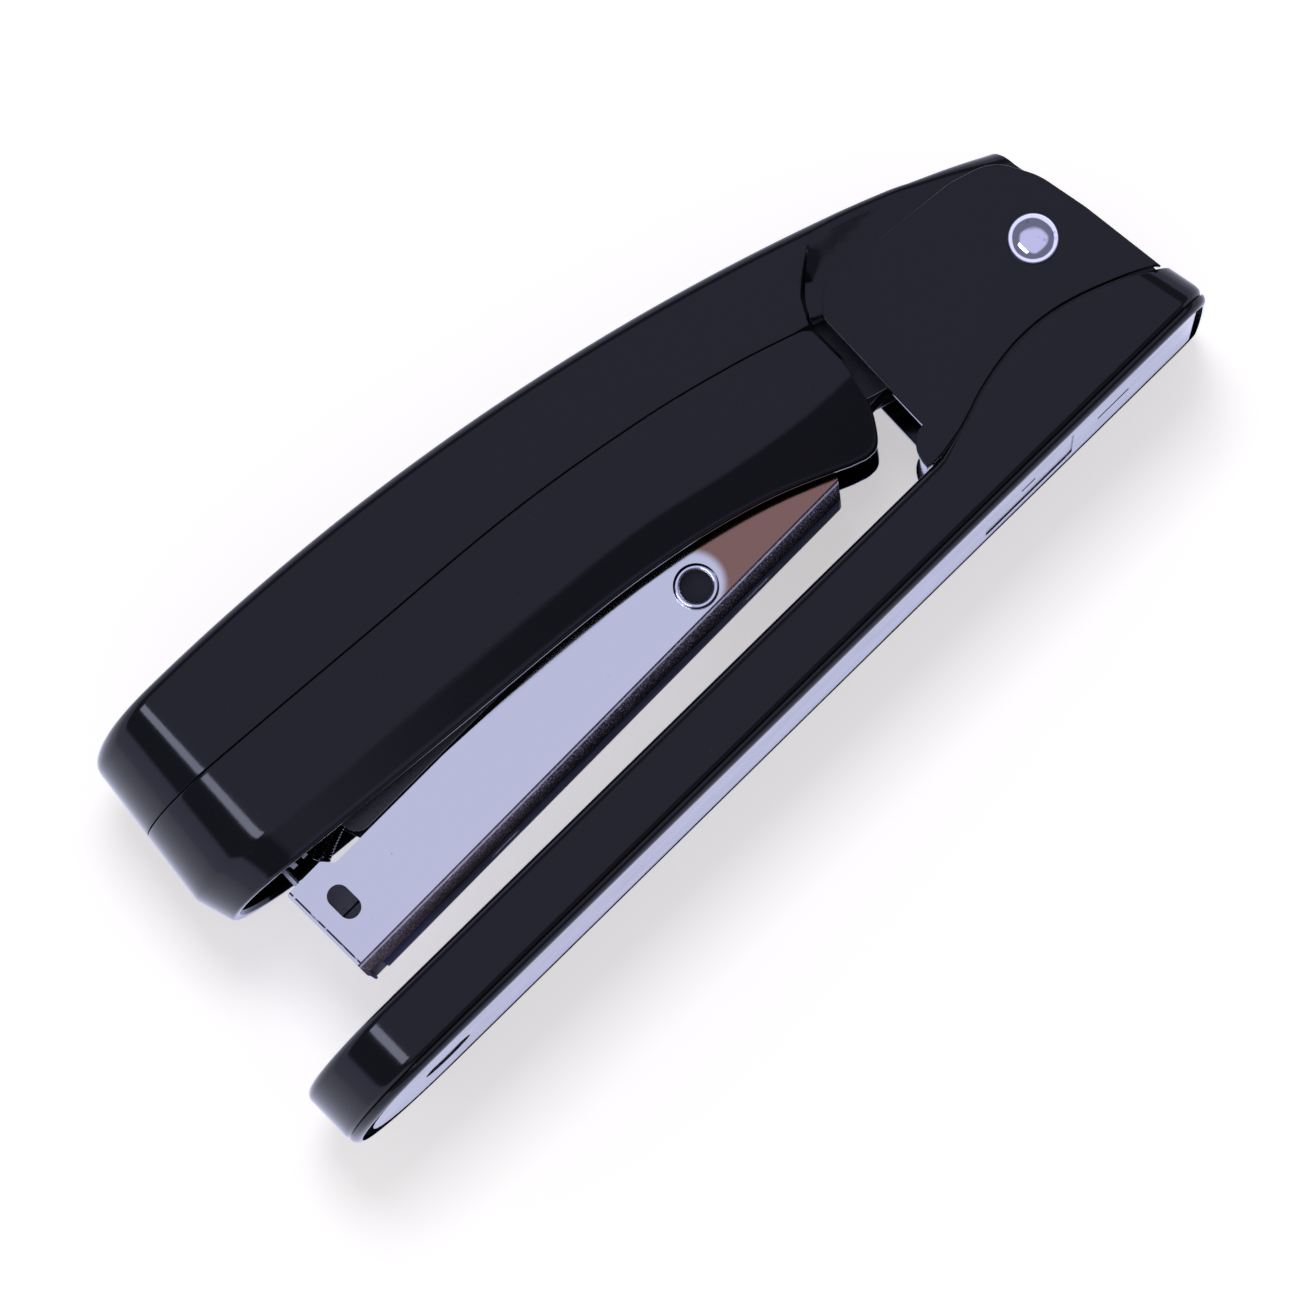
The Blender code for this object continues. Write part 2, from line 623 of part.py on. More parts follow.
def make_rail(shop, cutters):
    """Inverted channel that the staples straddle, slotted along its top for the pusher's neck."""
    low = CHANNEL_BOTTOM + CHANNEL_WALL + GAP
    corner = (RAIL_END, RAIL_HALF_WIDTH, RAIL_TOP)
    rail = shop.box("staple_rail", (RAIL_FRONT, -RAIL_HALF_WIDTH, low), corner)
    soften(rail, 0.4, segments=1)
    cavity = [(RAIL_FRONT + 0.7, -5.15, low - 3), (RAIL_END + 2, 5.15, RAIL_TOP - 0.7)]
    inside = cutters.box("rail_inside", *cavity)
    slot = cutters.box("rail_slot", (RAIL_FRONT + 1.6, -1.15, -1), (RAIL_END - 4.5, 1.15, 5))
    cut(rail, inside, slot)
    return rail


def make_carrier(shop, cutters):
    """Black steel bracket inside the channel's rear half, which carries the magazine on the pin."""
    corners = [
        (-64.6, -3.4, 0.5), (-44, -3.4, 4), (-34, 0.9, 5), (-22, 0.9, 5), (-12, -5.0, 3), (4.6, -5.0, 4.4),
        (4.6, 5.0, 4.4), (-12, 6.3, 4), (-38, 4.4, 6), (-64.6, 4.4, 1.5),
    ]
    arm = rounded(corners)
    carrier = shop.slab("rear_carrier", arm, 5.75, 6.5)
    far = cutters.slab("carrier_far_arm", arm, -6.5, -5.75)
    floor = cutters.box("carrier_floor", (-64.3, -6.1, -3.85), (-42.0, 6.1, -3.05))
    saddle = cutters.box("carrier_saddle", (-13.2, -6.1, -3.85), (-5.5, 6.1, -3.05))
    bridge = cutters.box("carrier_bridge", (-57, -6.1, 3.6), (-41, 6.1, 4.4))
    join(carrier, floor, saddle, bridge, far)
    pin_hole = cutters.rod("carrier_pin_hole", PIN_RADIUS + GAP, (0, -10, 0), (0, 10, 0))
    ends = [(EYELET_X, y, EYELET_Z) for y in (-10, 10)]
    rivet_hole = cutters.rod("carrier_rivet_hole", 2.75, *ends, 28)
    cut(carrier, pin_hole, rivet_hole)
    return carrier


def make_eyelets(shop):
    made = []
    rim, wire = 2.5, 0.42
    bulge = []
    for angle in spread(-math.pi / 3, math.pi, 9):
        bulge.append((rim + wire * math.cos(angle), 7.95 + wire * math.sin(angle)))
    profile = [(2.1, 5.4), (2.5, 5.4), (2.5, 7.6), *bulge]
    for side, axis in (("left", 1), ("right", -1)):
        made.append(shop.turned(f"eyelet_{side}", profile, (EYELET_X, 0, EYELET_Z), (0, axis, 0), 28))
    return made


def make_pusher(shop, cutters):
    """Saddle over the rail, with a neck through its slot to a follower plate on the rod."""
    front = RAIL_FRONT + 0.4
    back = front + 9.0
    low = -3.4
    saddle = shop.box("pusher", (front, -6.55, low), (back, 6.55, RAIL_TOP + 1.1))
    soften(saddle, 0.3, segments=1)
    under = cutters.box("pusher_under", (front - 1, -6.15, low - 1), (back + 1, 6.15, RAIL_TOP + GAP))
    neck = cutters.box("pusher_neck", (front + 1.9, -0.8, -0.2), (front + 4.5, 0.8, RAIL_TOP + 0.7))
    plate = cutters.box("pusher_plate", (front + 1.9, -4.4, -3.3), (front + 4.2, 4.4, 0.6))
    hole = cutters.rod("pusher_rod_hole", 1.05, (front, 0, ROD_Z), (back, 0, ROD_Z), 16)
    cut(saddle, under)
    join(saddle, neck, plate)
    cut(saddle, hole)
    return saddle


def make_rod_and_anchor(shop, cutters):
    anchor_front = RAIL_END - 3.6
    rod = shop.rod("pusher_rod", 0.75, (RAIL_FRONT + 1.0, 0, ROD_Z), (RAIL_END - 1.4, 0, ROD_Z), 16)
    anchor = shop.box("rod_anchor", (anchor_front, -4.8, -2.9), (RAIL_END + 1.0, 4.8, 0.7))
    stop = cutters.box("anchor_stop", (RAIL_END + 0.3, -5.0, -2.7), (RAIL_END + 7.4, 5.0, 3.2))
    join(anchor, stop)
    hole = cutters.rod("anchor_rod_hole", 1.05, (anchor_front - 1, 0, ROD_Z), (RAIL_END + 1, 0, ROD_Z), 16)
    cut(anchor, hole)
    return rod, anchor


def make_pusher_spring(shop):
    start = RAIL_FRONT + 0.4 + 4.2 + 0.6
    end = RAIL_END - 3.6 - 0.6
    coil = helix(1.7, start, end, 13, lambda a, b, x: (x, a, ROD_Z + b), 8)
    return shop.wire("pusher_spring", coil, 0.22)


# ---- handle -------------------------------------------------------------------------------------
def cover_rim(x):
    seam = smooth_curve(SIDE_SEAM)
    rear = smooth_curve(COVER_REAR_RIM)
    return seam(x) if x < 38.0 else rear(x)


def pulled_in(point, distance):
    """A point of the handle's outline moved towards its middle line, by no more than it can be."""
    x, y, z = point
    across = max(abs(y) - distance, 0.0) * (1 if y > 0 else -1)
    half = max(handle_half_width(z), 1.0)
    share = min(abs(y) / half, 1.0)
    along = distance * math.sqrt(max(1.0 - share * share, 0.0))
    if x < HANDLE_NOSE_X:
        x += along
    elif x > 66.0:
        x -= along
    return (x, across, z)


def make_top_cover(shop, cutters):
    """Closed shell: ring by ring up the inside from the rim, over the roof, and down the outside."""
    def edge_radius(x):
        """Fillet at the top edge: small along the sides, larger over the nose and the tail."""
        nose = min(max((HANDLE_NOSE_X - 2.0 - x) / 9.0, 0.0), 1.0)
        tail = min(max((x - 58.0) / 12.0, 0.0), 1.0)
        return 1.4 + 0.8 * nose * nose + 5.5 * tail * tail

    def wall_height(x, share, drop):
        """Height on the wall at a share of the way from the rim to drop below the top."""
        return cover_rim(x) + share * (handle_top(x) - drop - cover_rim(x))

    outer = [handle_ring(cover_rim, 0.0)]
    for share in (0.12, 0.5, 0.9):
        outer.append(handle_ring(lambda x, s=share: wall_height(x, s, edge_radius(x)), 0.0))
    for angle in spread(0, math.pi / 2, 5):
        def height(x, a=angle):
            return handle_top(x) - edge_radius(x) * (1 - math.sin(a))
        ring = handle_ring(height, 0.0)
        outer.append([pulled_in(p, edge_radius(p[0]) * (1 - math.cos(angle))) for p in ring])
    crown = []
    for x, y, z in handle_ring(handle_top, 0.0):
        crown.append(pulled_in((x, y, z + 0.6), edge_radius(x) + 5.0))
    outer.append(crown)
    wall = HANDLE_WALL
    inner = [handle_ring(cover_rim, wall)]
    for share in (0.5, 1.0):
        inner.append(handle_ring(lambda x, s=share: wall_height(x, s, 2.6), wall))
    ceiling = [pulled_in((x, y, z - 1.0 - 0.5), 4.5) for x, y, z in handle_ring(handle_top, 0.0)]
    inner.append(ceiling)
    cover = shop.lid("top_cover", inner[::-1] + outer)
    pin_hole = cutters.rod("cover_pin_hole", PIN_RADIUS + GAP, *[(PIVOT_X, y, PIVOT_Z) for y in (-20, 20)])
    boss_x = PIVOT_X + SCREW_X
    boss_top = handle_top(boss_x) - 0.6
    boss = cutters.rod("cover_boss", 3.2, (boss_x, 0, 39.6), (boss_x, 0, boss_top), 24)
    boss_hole = cutters.rod("cover_boss_hole", 1.6, (boss_x, 0, 36), (boss_x, 0, 48), 16)
    join(cover, boss)
    cut(cover, pin_hole, boss_hole)
    return cover


def skirt_section(ahead, across, x):
    """Outline of the lower skirt's wall at one place on its path, as points in space."""
    place = x - HANDLE_NOSE_LENGTH * ahead
    seam = smooth_curve(SIDE_SEAM)(place) - 0.35
    crease = smooth_curve(SKIRT_CREASE)(place)
    rim = smooth_curve(SKIRT_RIM)(place)
    slope = 0.30 + 0.12 * min(max((x + 54) / 86, 0.0), 1.0)
    wall = HANDLE_WALL
    tuck = slope * (crease - rim - 0.4)
    middle = (seam + crease) / 2
    shape = [
        (0.0, seam), (0.0, middle), (0.0, crease), (tuck * 0.5, crease - (crease - rim - 0.4) * 0.5),
        (tuck, rim + 0.4), (tuck + 0.5, rim), (tuck + wall - 0.4, rim), (tuck + wall, rim + 0.4),
        (wall, crease - 0.6), (wall, middle), (wall, seam),
    ]
    section = []
    for inset, z in shape:
        side = (handle_half_width(z) - inset) * across
        lean = HANDLE_NOSE_LEAN * max(z - HANDLE_RIDGE_Z, 0.0) * abs(ahead)
        section.append((x - (HANDLE_NOSE_LENGTH - inset) * ahead + lean, side, z))
    return section


def make_lower_skirt(shop, cutters):
    """U-shaped wall round the nose and both sides, creased below its middle and tucked in."""
    end = 37.7
    nose = oval_nose(1.0, 1.0, 2.1, 9)
    sides = spread(HANDLE_NOSE_X, end, 17)[1:]
    stations = [(0.0, -1.0, x) for x in sides[::-1]]
    stations += [(ahead, -across, HANDLE_NOSE_X) for ahead, across in nose[::-1]]
    stations += [(ahead, across, HANDLE_NOSE_X) for ahead, across in nose[1:]]
    stations += [(0.0, 1.0, x) for x in sides]
    skirt = shop.loft("lower_skirt", [skirt_section(*station) for station in stations])
    corners = [
        (30.5, 15.9, 0), (33.2, 16.2, 2.0), (36.3, 20.9, 3.0),
        (37.0, 25.5, 6), (37.6, 33.0, 1.8), (33.0, 34.4, 0),
    ]
    tail = rounded(corners, 4)
    tail += [(33.0, 38.0), (44.0, 38.0), (44.0, 12.0), (30.5, 12.0)]
    trim = cutters.slab("skirt_tail_trim", tail, -18, 18)
    cut(skirt, trim)
    return skirt


# ---- handle's steel frame, in the magazine's frame ----------------------------------------------
def web_under(x):
    """Underside of the frame's web."""
    share = (x - WEB_FRONT[0]) / (WEB_REAR[0] - WEB_FRONT[0])
    return WEB_FRONT[1] + share * (WEB_REAR[1] - WEB_FRONT[1])


def make_handle_frame(shop, cutters):
    """Pressed steel bracket: two arms from the pin, a web over the magazine, a front flange."""
    top = [(WEB_FRONT[0], WEB_FRONT[1] + 0.9, 0), (WEB_REAR[0], WEB_REAR[1] + 0.9, 6)]
    low = [(-30, 2.0, 12), (-62, 8.0, 20), (-112.5, 8.4, 2), (-114.5, 14.6, 2), (WEB_FRONT[0], 14.6, 0)]
    arm = rounded([*top, (4.6, 5.5, 4.4), (4.6, -4.6, 4.4), (-9, -4.6, 5), *low], 4)
    frame = shop.slab("handle_frame", arm, 8.6, 9.5)
    far = cutters.slab("frame_far_arm", arm, -9.5, -8.6)
    web = [(x, web_under(x) + lift) for x, lift in ((-121.6, 0), (-31, 0), (-31, 0.9), (-121.6, 0.9))]
    plate = cutters.slab("frame_web", web, -9.0, 9.0)
    flange = cutters.box("frame_flange", (-121.7, -5.6, 12.6), (-120.9, 5.6, 21.0))
    bracket = cutters.box("frame_front_bracket", (-121.6, -9.0, 19.4), (-120.9, 9.0, 21.0))
    join(frame, plate, flange, bracket, far)
    for i, x in enumerate((-119.4, -99.8)):
        tab = cutters.box(f"frame_spring_tab_{i}", (x - 0.4, -1.6, 12.3), (x + 0.4, 1.6, web_under(x) + 0.5))
        join(frame, tab)
    cut(frame, cutters.rod("frame_pin_hole", PIN_RADIUS + GAP, (0, -12, 0), (0, 12, 0)))
    cut(frame, cutters.rod("frame_screw_hole", 1.5, (SCREW_X, 0, 10), (SCREW_X, 0, 24), 16))
    for side in (-1, 1):
        ends = [(x, side * 3.4, 17) for x in (-125, -118)]
        cut(frame, cutters.rod(f"frame_rivet_hole_{side}", 1.1, *ends, 16))
    return frame


def make_frame_screw(shop, cutters):
    under = web_under(SCREW_X) - 0.1
    shank = [(0.0, 26.0), (0.9, 25.4), (1.15, 24.8), (1.15, under)]
    head = [(2.4, under), (2.4, under - 0.9), (1.6, under - 1.5), (0.0, under - 1.6)]
    screw = shop.turned("frame_screw", shank + head, (SCREW_X, 0, 0), (0, 0, 1), 16)
    for i, (u, v) in enumerate(((1.5, 0.25), (0.25, 1.5))):
        low = (SCREW_X - u, -v, under - 3)
        high = (SCREW_X + u, v, under - 0.8)
        cut(screw, cutters.box(f"frame_screw_cross_{i}", low, high))
    return screw


def make_driver(shop, cutters):
    """Thin blade that drives the staple, leaning back a little at rest."""
    run = math.tan(BLADE_TILT)
    foot_x, foot_z = BLADE_TIP
    head = 19.6
    outline = [
        (foot_x - 0.25, foot_z), (foot_x + 0.25, foot_z),
        (foot_x + 0.25 + run * (head - foot_z), head), (foot_x - 0.25 + run * (head - foot_z), head),
    ]
    blade = shop.slab("driver_blade", outline, -6.4, 6.4)
    for side in (-1, 1):
        ends = [(x, side * 3.4, 17) for x in (-125, -118)]
        cut(blade, cutters.rod(f"blade_rivet_hole_{side}", 1.1, *ends, 16))
    return blade


def make_driver_rivets(shop):
    profile = [(0.0, 2.25), (0.8, 2.25), (0.8, 0.0), (1.6, 0.0), (1.3, -0.7), (0.0, -0.9)]
    rivets = []
    for side, y in (("left", 3.4), ("right", -3.4)):
        rivets.append(shop.turned(f"driver_rivet_{side}", profile, (-120.6, y, 17), (-1, 0, 0), 16))
    return rivets


def make_handle_spring(shop):
    x = -50.0
    coil = helix(3.6, 5.1, web_under(x) - 0.8, 5, lambda a, b, z: (x + a, b, z), 12)
    return shop.wire("handle_spring", coil, 0.45)


def make_arch_spring(shop):
    """The bowed, close-wound spring hung under the front of the frame, as its outer form."""
    start, end, rise = (-118.6, 10.3), (-100.4, 10.2), 2.6
    path = []
    for t in spread(0, 1, 13):
        x = start[0] + (end[0] - start[0]) * t
        path.append((x, 0.0, start[1] + (end[1] - start[1]) * t + rise * 4 * t * (1 - t)))
    return shop.wire("arch_spring", path, 1.3)


def make_sleeve(shop):
    profile = [(2.05, -5.4), (2.05, 5.4), (2.9, 5.4), (2.9, -5.4)]
    return shop.turned("pivot_sleeve", profile, (0, 0, 0), (0, 1, 0), 24)


# ---- assembly -----------------------------------------------------------------------------------
def main():
    clear_scene()
    parts = new_collection("stapler")
    tools = new_collection("cutters", hidden=True)
    cutters = Workshop(tools, None)

    plastic = ((0.012, 0.012, 0.020), 0.22, 0.0)
    chrome = ((0.62, 0.63, 0.68), 0.12, 1.0)
    steel = ((0.42, 0.42, 0.45), 0.32, 1.0)
    dark = ((0.025, 0.025, 0.03), 0.40, 0.3)

    def using(name, look):
        return Workshop(parts, finish(name, *look))

    make_base_shell(using("base_plastic", plastic), cutters)
    make_bottom_plate(using("plate_plastic", plastic), cutters)
    make_housing(using("housing_plastic", plastic), cutters)
    pin, cap = make_pin(using("pin_steel", chrome))
    cap.data.materials[0] = finish("cap_steel", *chrome)
    make_return_spring(using("leaf_steel", steel))
    left, right = make_housing_screws(using("screw_left_steel", steel), cutters)
    right.data.materials[0] = finish("screw_right_steel", *steel)
    make_anvil(using("anvil_steel", chrome), cutters)
    make_anvil_button(using("button_steel", steel))
    make_anvil_spring(using("anvil_spring_steel", steel))

    make_top_cover(using("cover_plastic", plastic), cutters)
    make_lower_skirt(using("skirt_plastic", plastic), cutters)

    magazine_axis = bpy.data.objects.new("magazine_axis", None)
    magazine_axis.location = (PIVOT_X * MM, 0, PIVOT_Z * MM)
    magazine_axis.rotation_euler = (0, MAGAZINE_PITCH, 0)
    parts.objects.link(magazine_axis)
    already = set(parts.objects) | set(tools.objects)

    make_channel(using("channel_chrome", chrome), cutters)
    make_rail(using("rail_steel", steel), cutters)
    make_carrier(using("carrier_black", dark), cutters)
    near, far = make_eyelets(using("eyelet_left_steel", chrome))
    far.data.materials[0] = finish("eyelet_right_steel", *chrome)
    make_sleeve(using("sleeve_steel", steel))
    rod, anchor = make_rod_and_anchor(using("rod_steel", steel), cutters)
    anchor.data.materials[0] = finish("anchor_plastic", *dark)
    make_pusher(using("pusher_steel", steel), cutters)
    make_pusher_spring(using("pusher_spring_steel", steel))
    make_handle_frame(using("frame_steel", steel), cutters)
    make_frame_screw(using("frame_screw_steel", steel), cutters)
    make_driver(using("driver_steel", steel), cutters)
    first, second = make_driver_rivets(using("rivet_left_steel", steel))
    second.data.materials[0] = finish("rivet_right_steel", *steel)
    make_handle_spring(using("handle_spring_steel", steel))
    make_arch_spring(using("arch_spring_steel", dark))
    for obj in [*parts.objects, *tools.objects]:
        if obj not in already:
            obj.parent = magazine_axis


main()
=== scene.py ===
# %% [markdown]
# # A desk stapler lying on its side
#
# The working model (its pieces, hinges and slides) is loaded as a fixed frame. This script gives
# each piece its finished surface and material, and sets it on a pale table under studio light.
# +X runs to the hinge end, -X to the nose, +Z from base to handle, and -Y is the side that faces up.

import math

import bmesh
import bpy
from mathutils import Matrix, Vector


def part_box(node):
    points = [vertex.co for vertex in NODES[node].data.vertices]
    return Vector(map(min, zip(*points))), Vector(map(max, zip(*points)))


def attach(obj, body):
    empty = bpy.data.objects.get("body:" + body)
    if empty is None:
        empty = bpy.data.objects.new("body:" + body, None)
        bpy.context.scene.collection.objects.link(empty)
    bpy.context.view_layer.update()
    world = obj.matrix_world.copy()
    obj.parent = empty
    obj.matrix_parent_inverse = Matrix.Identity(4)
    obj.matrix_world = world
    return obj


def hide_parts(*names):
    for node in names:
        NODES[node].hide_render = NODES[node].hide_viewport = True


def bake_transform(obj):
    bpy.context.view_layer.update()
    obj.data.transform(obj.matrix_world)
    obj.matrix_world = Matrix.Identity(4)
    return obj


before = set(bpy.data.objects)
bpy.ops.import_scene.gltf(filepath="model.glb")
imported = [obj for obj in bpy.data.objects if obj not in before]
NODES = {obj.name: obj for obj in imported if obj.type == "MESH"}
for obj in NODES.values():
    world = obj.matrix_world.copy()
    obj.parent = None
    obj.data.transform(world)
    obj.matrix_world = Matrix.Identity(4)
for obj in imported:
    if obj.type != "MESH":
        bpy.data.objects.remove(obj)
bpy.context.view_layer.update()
MM = 0.001

# %% [markdown]
# The stapler turns about one pin. Where the pin sits is read from the frame, and everything else
# that depends on it is worked out from there. At rest the magazine is tilted about it by a degree.

# %% The hinge pin's place
pin_low, pin_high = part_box("pivot_sleeve")
PIVOT = (pin_low + pin_high) / 2
MAGAZINE_TILT = -math.radians(0.95)
print("pin at", [round(v / MM, 2) for v in PIVOT])

# %% [markdown]
# ## Camera
# A long lens about a metre above the table, turned so that the stapler runs across the picture
# from the lower left to the upper right. It leans by a few degrees, which shows a little of the
# underside.

# %% Camera
CAMERA_DISTANCE = 1.0
CAMERA_LEAN = Vector((-0.0319, -1.0, -0.0823))
CAMERA_ROLL = math.radians(44.4118)
LOOK_AT = Vector((-5.4608, -18.0, 17.5512)) * MM
FIELD_WIDTH = 0.162559
SENSOR_WIDTH = 36.0


def add_camera():
    back = CAMERA_LEAN.normalized()
    upward = Vector((math.sin(CAMERA_ROLL), 0, math.cos(CAMERA_ROLL)))
    up = (upward - back * upward.dot(back)).normalized()
    right = up.cross(back)
    data = bpy.data.cameras.new("camera")
    data.sensor_width = SENSOR_WIDTH
    data.lens = SENSOR_WIDTH * CAMERA_DISTANCE / FIELD_WIDTH
    camera = bpy.data.objects.new("camera", data)
    turn = Matrix((right, up, back)).transposed().to_4x4()
    camera.matrix_world = Matrix.Translation(LOOK_AT + back * CAMERA_DISTANCE) @ turn
    bpy.context.scene.collection.objects.link(camera)
    bpy.context.scene.camera = camera
    return camera


print("lens", round(add_camera().data.lens, 1))

# %% [markdown]
# ## Finishes
# Two effects serve most materials, so each is a node group built once. Soft mottling varies the
# gloss in broad patches, as handling does. Fine grain is the texture left by a mould or a roller.

# %% Shared effects
def node(tree, kind, place=(0, 0), **values):
    made = tree.nodes.new(kind)
    made.location = place
    for name, value in values.items():
        if name in made.inputs:
            made.inputs[name].default_value = value
        else:
            setattr(made, name, value)
    return made


def effect_group(name, inputs, outputs):
    group = bpy.data.node_groups.new(name, "ShaderNodeTree")
    for label, kind, value in inputs:
        socket = group.interface.new_socket(label, in_out="INPUT", socket_type=kind)
        if value is not None:
            socket.default_value = value
    for label, kind in outputs:
        group.interface.new_socket(label, in_out="OUTPUT", socket_type=kind)
    return group, group.nodes.new("NodeGroupInput"), group.nodes.new("NodeGroupOutput")


def make_mottle_group():
    """Gloss that varies in broad patches with faint rubbed streaks."""
    group, into, out = effect_group(
        "gloss_mottle",
        [("Vector", "NodeSocketVector", None), ("Scale", "NodeSocketFloat", 90.0),
         ("Low", "NodeSocketFloat", 0.12), ("High", "NodeSocketFloat", 0.22)],
        [("Roughness", "NodeSocketFloat")],
    )
    patches = node(group, "ShaderNodeTexNoise", Detail=4.0, Roughness=0.6)
    streaks = node(group, "ShaderNodeTexNoise", Scale=1400.0, Detail=2.0)
    squeeze = node(group, "ShaderNodeMapping")
    squeeze.inputs["Scale"].default_value = (0.12, 1.0, 1.0)
    mix = node(group, "ShaderNodeMath", operation="MULTIPLY_ADD")
    mix.inputs[1].default_value = 0.25
    span = node(group, "ShaderNodeMapRange")
    span.inputs["From Min"].default_value = 0.35
    span.inputs["From Max"].default_value = 0.85
    links = group.links
    links.new(into.outputs["Vector"], patches.inputs["Vector"])
    links.new(into.outputs["Scale"], patches.inputs["Scale"])
    links.new(into.outputs["Vector"], squeeze.inputs["Vector"])
    links.new(squeeze.outputs[0], streaks.inputs["Vector"])
    links.new(streaks.outputs["Fac"], mix.inputs[0])
    links.new(patches.outputs["Fac"], mix.inputs[2])
    links.new(mix.outputs[0], span.inputs["Value"])
    links.new(into.outputs["Low"], span.inputs["To Min"])
    links.new(into.outputs["High"], span.inputs["To Max"])
    links.new(span.outputs[0], out.inputs["Roughness"])
    return group


def make_grain_group():
    """Height of a fine moulded or rolled grain over a slow waviness."""
    group, into, out = effect_group(
        "fine_grain",
        [("Vector", "NodeSocketVector", None), ("Grain scale", "NodeSocketFloat", 2500.0),
         ("Wave scale", "NodeSocketFloat", 60.0), ("Wave share", "NodeSocketFloat", 0.6)],
        [("Height", "NodeSocketFloat")],
    )
    grain = node(group, "ShaderNodeTexNoise", Detail=2.0, Roughness=0.5)
    wave = node(group, "ShaderNodeTexNoise", Detail=1.0, Roughness=0.4)
    mix = node(group, "ShaderNodeMix")
    links = group.links
    for texture, scale in ((grain, "Grain scale"), (wave, "Wave scale")):
        links.new(into.outputs["Vector"], texture.inputs["Vector"])
        links.new(into.outputs[scale], texture.inputs["Scale"])
    links.new(into.outputs["Wave share"], mix.inputs["Factor"])
    links.new(grain.outputs["Fac"], mix.inputs[2])
    links.new(wave.outputs["Fac"], mix.inputs[3])
    links.new(mix.outputs[0], out.inputs["Height"])
    return group


MOTTLE = make_mottle_group()
GRAIN = make_grain_group()
print("effects", MOTTLE.name, GRAIN.name)


# %% Start a material with the shared effects
def start_material(name, colour, metallic, low, high, bump, grain_scale, wave_share, mottle_scale=90.0):
    material = bpy.data.materials.new(name)
    material.use_nodes = True
    tree = material.node_tree
    shader = tree.nodes["Principled BSDF"]
    shader.inputs["Base Color"].default_value = (*colour, 1)
    shader.inputs["Metallic"].default_value = metallic
    place = node(tree, "ShaderNodeTexCoord", (-900, 0))
    mottle = node(tree, "ShaderNodeGroup", (-500, -100))
    mottle.node_tree = MOTTLE
    mottle.inputs["Scale"].default_value = mottle_scale
    mottle.inputs["Low"].default_value = low
    mottle.inputs["High"].default_value = high
    grain = node(tree, "ShaderNodeGroup", (-500, -400))
    grain.node_tree = GRAIN
    grain.inputs["Grain scale"].default_value = grain_scale
    grain.inputs["Wave share"].default_value = wave_share
    relief = node(tree, "ShaderNodeBump", (-250, -400))
    relief.inputs["Strength"].default_value = bump
    relief.inputs["Distance"].default_value = 0.0002
    links = tree.links
    links.new(place.outputs["Object"], mottle.inputs["Vector"])
    links.new(place.outputs["Object"], grain.inputs["Vector"])
    links.new(mottle.outputs["Roughness"], shader.inputs["Roughness"])
    links.new(grain.outputs["Height"], relief.inputs["Height"])
    links.new(relief.outputs["Normal"], shader.inputs["Normal"])
    return material, tree, shader, place.outputs["Object"]


def tinted(tree, factor, plain, marked, shader):
    """Base colour that goes from plain to marked as the factor goes from 0 to 1."""
    blend = node(tree, "ShaderNodeMix", (-250, 300), data_type="RGBA")
    colours = [socket for socket in blend.inputs if socket.type == "RGBA"]
    for socket, value in zip(colours, (plain, marked)):
        if isinstance(value, bpy.types.NodeSocket):
            tree.links.new(value, socket)
        else:
            socket.default_value = (*value, 1)
    result = [socket for socket in blend.outputs if socket.type == "RGBA"][0]
    tree.links.new(factor, blend.inputs[0])
    if shader:
        tree.links.new(result, shader.inputs["Base Color"])
    return result


# %% [markdown]
# ### Black moulded plastic
# The base, housing and handle are glossy near-black plastic with a cool cast. The colour is
# almost nothing: the look is all reflection. A sparse fine dust catches a little light.

# %% Black moulded plastic
NEAR_BLACK = (0.0045, 0.0045, 0.0065)
DUST = (0.16, 0.16, 0.18)
PLASTIC_IOR = 1.4


def make_plastic(name, low=0.07, high=0.11, dust=0.30):
    material, tree, shader, place = start_material(name, NEAR_BLACK, 0.0, low, high, 0.04, 2200.0, 0.75)
    shader.inputs["IOR"].default_value = PLASTIC_IOR
    specks = node(tree, "ShaderNodeTexVoronoi", (-700, 300), Scale=420.0)
    pick = node(tree, "ShaderNodeMapRange", (-500, 300))
    pick.inputs["From Min"].default_value = 0.030
    pick.inputs["From Max"].default_value = 0.015
    pick.inputs["To Min"].default_value = 0.0
    pick.inputs["To Max"].default_value = dust
    tree.links.new(place, specks.inputs["Vector"])
    tree.links.new(specks.outputs["Distance"], pick.inputs["Value"])
    tinted(tree, pick.outputs[0], NEAR_BLACK, DUST, shader)
    return material


COVER_PLASTIC = make_plastic("cover_plastic")
BASE_PLASTIC = make_plastic("base_plastic")
print("plastics", COVER_PLASTIC.name, BASE_PLASTIC.name)


# %% [markdown]
# ### Bright plate, its worn parts, and its painted reflection and shade
# The magazine's sides are smooth and bright with a cool cast and a few pits and hair scratches.
# Behind the eyelet a warm brown reflection is painted into the plate. The fold along each lower edge is
# dull and speckled, with a painted highlight along it, and the underside is a darker grey blue of painted
# shade.

# %% Bright plate
def magazine_place(tree, place):
    """Object coordinates turned into the magazine's own frame: origin on the pin, level."""
    level_off = node(tree, "ShaderNodeMapping", (-1100, 200), vector_type="TEXTURE")
    level_off.inputs["Location"].default_value = PIVOT
    level_off.inputs["Rotation"].default_value = (0, MAGAZINE_TILT, 0)
    tree.links.new(place, level_off.inputs["Vector"])
    return level_off.outputs[0]


def ramp_between(tree, value, start, end, low=0.0, high=1.0):
    """A smooth step from low at the value start to high at the value end."""
    span = node(tree, "ShaderNodeMapRange", (-700, 500), interpolation_type="SMOOTHSTEP")
    span.inputs["From Min"].default_value = start
    span.inputs["From Max"].default_value = end
    span.inputs["To Min"].default_value = low
    span.inputs["To Max"].default_value = high
    tree.links.new(value, span.inputs["Value"])
    return span.outputs[0]


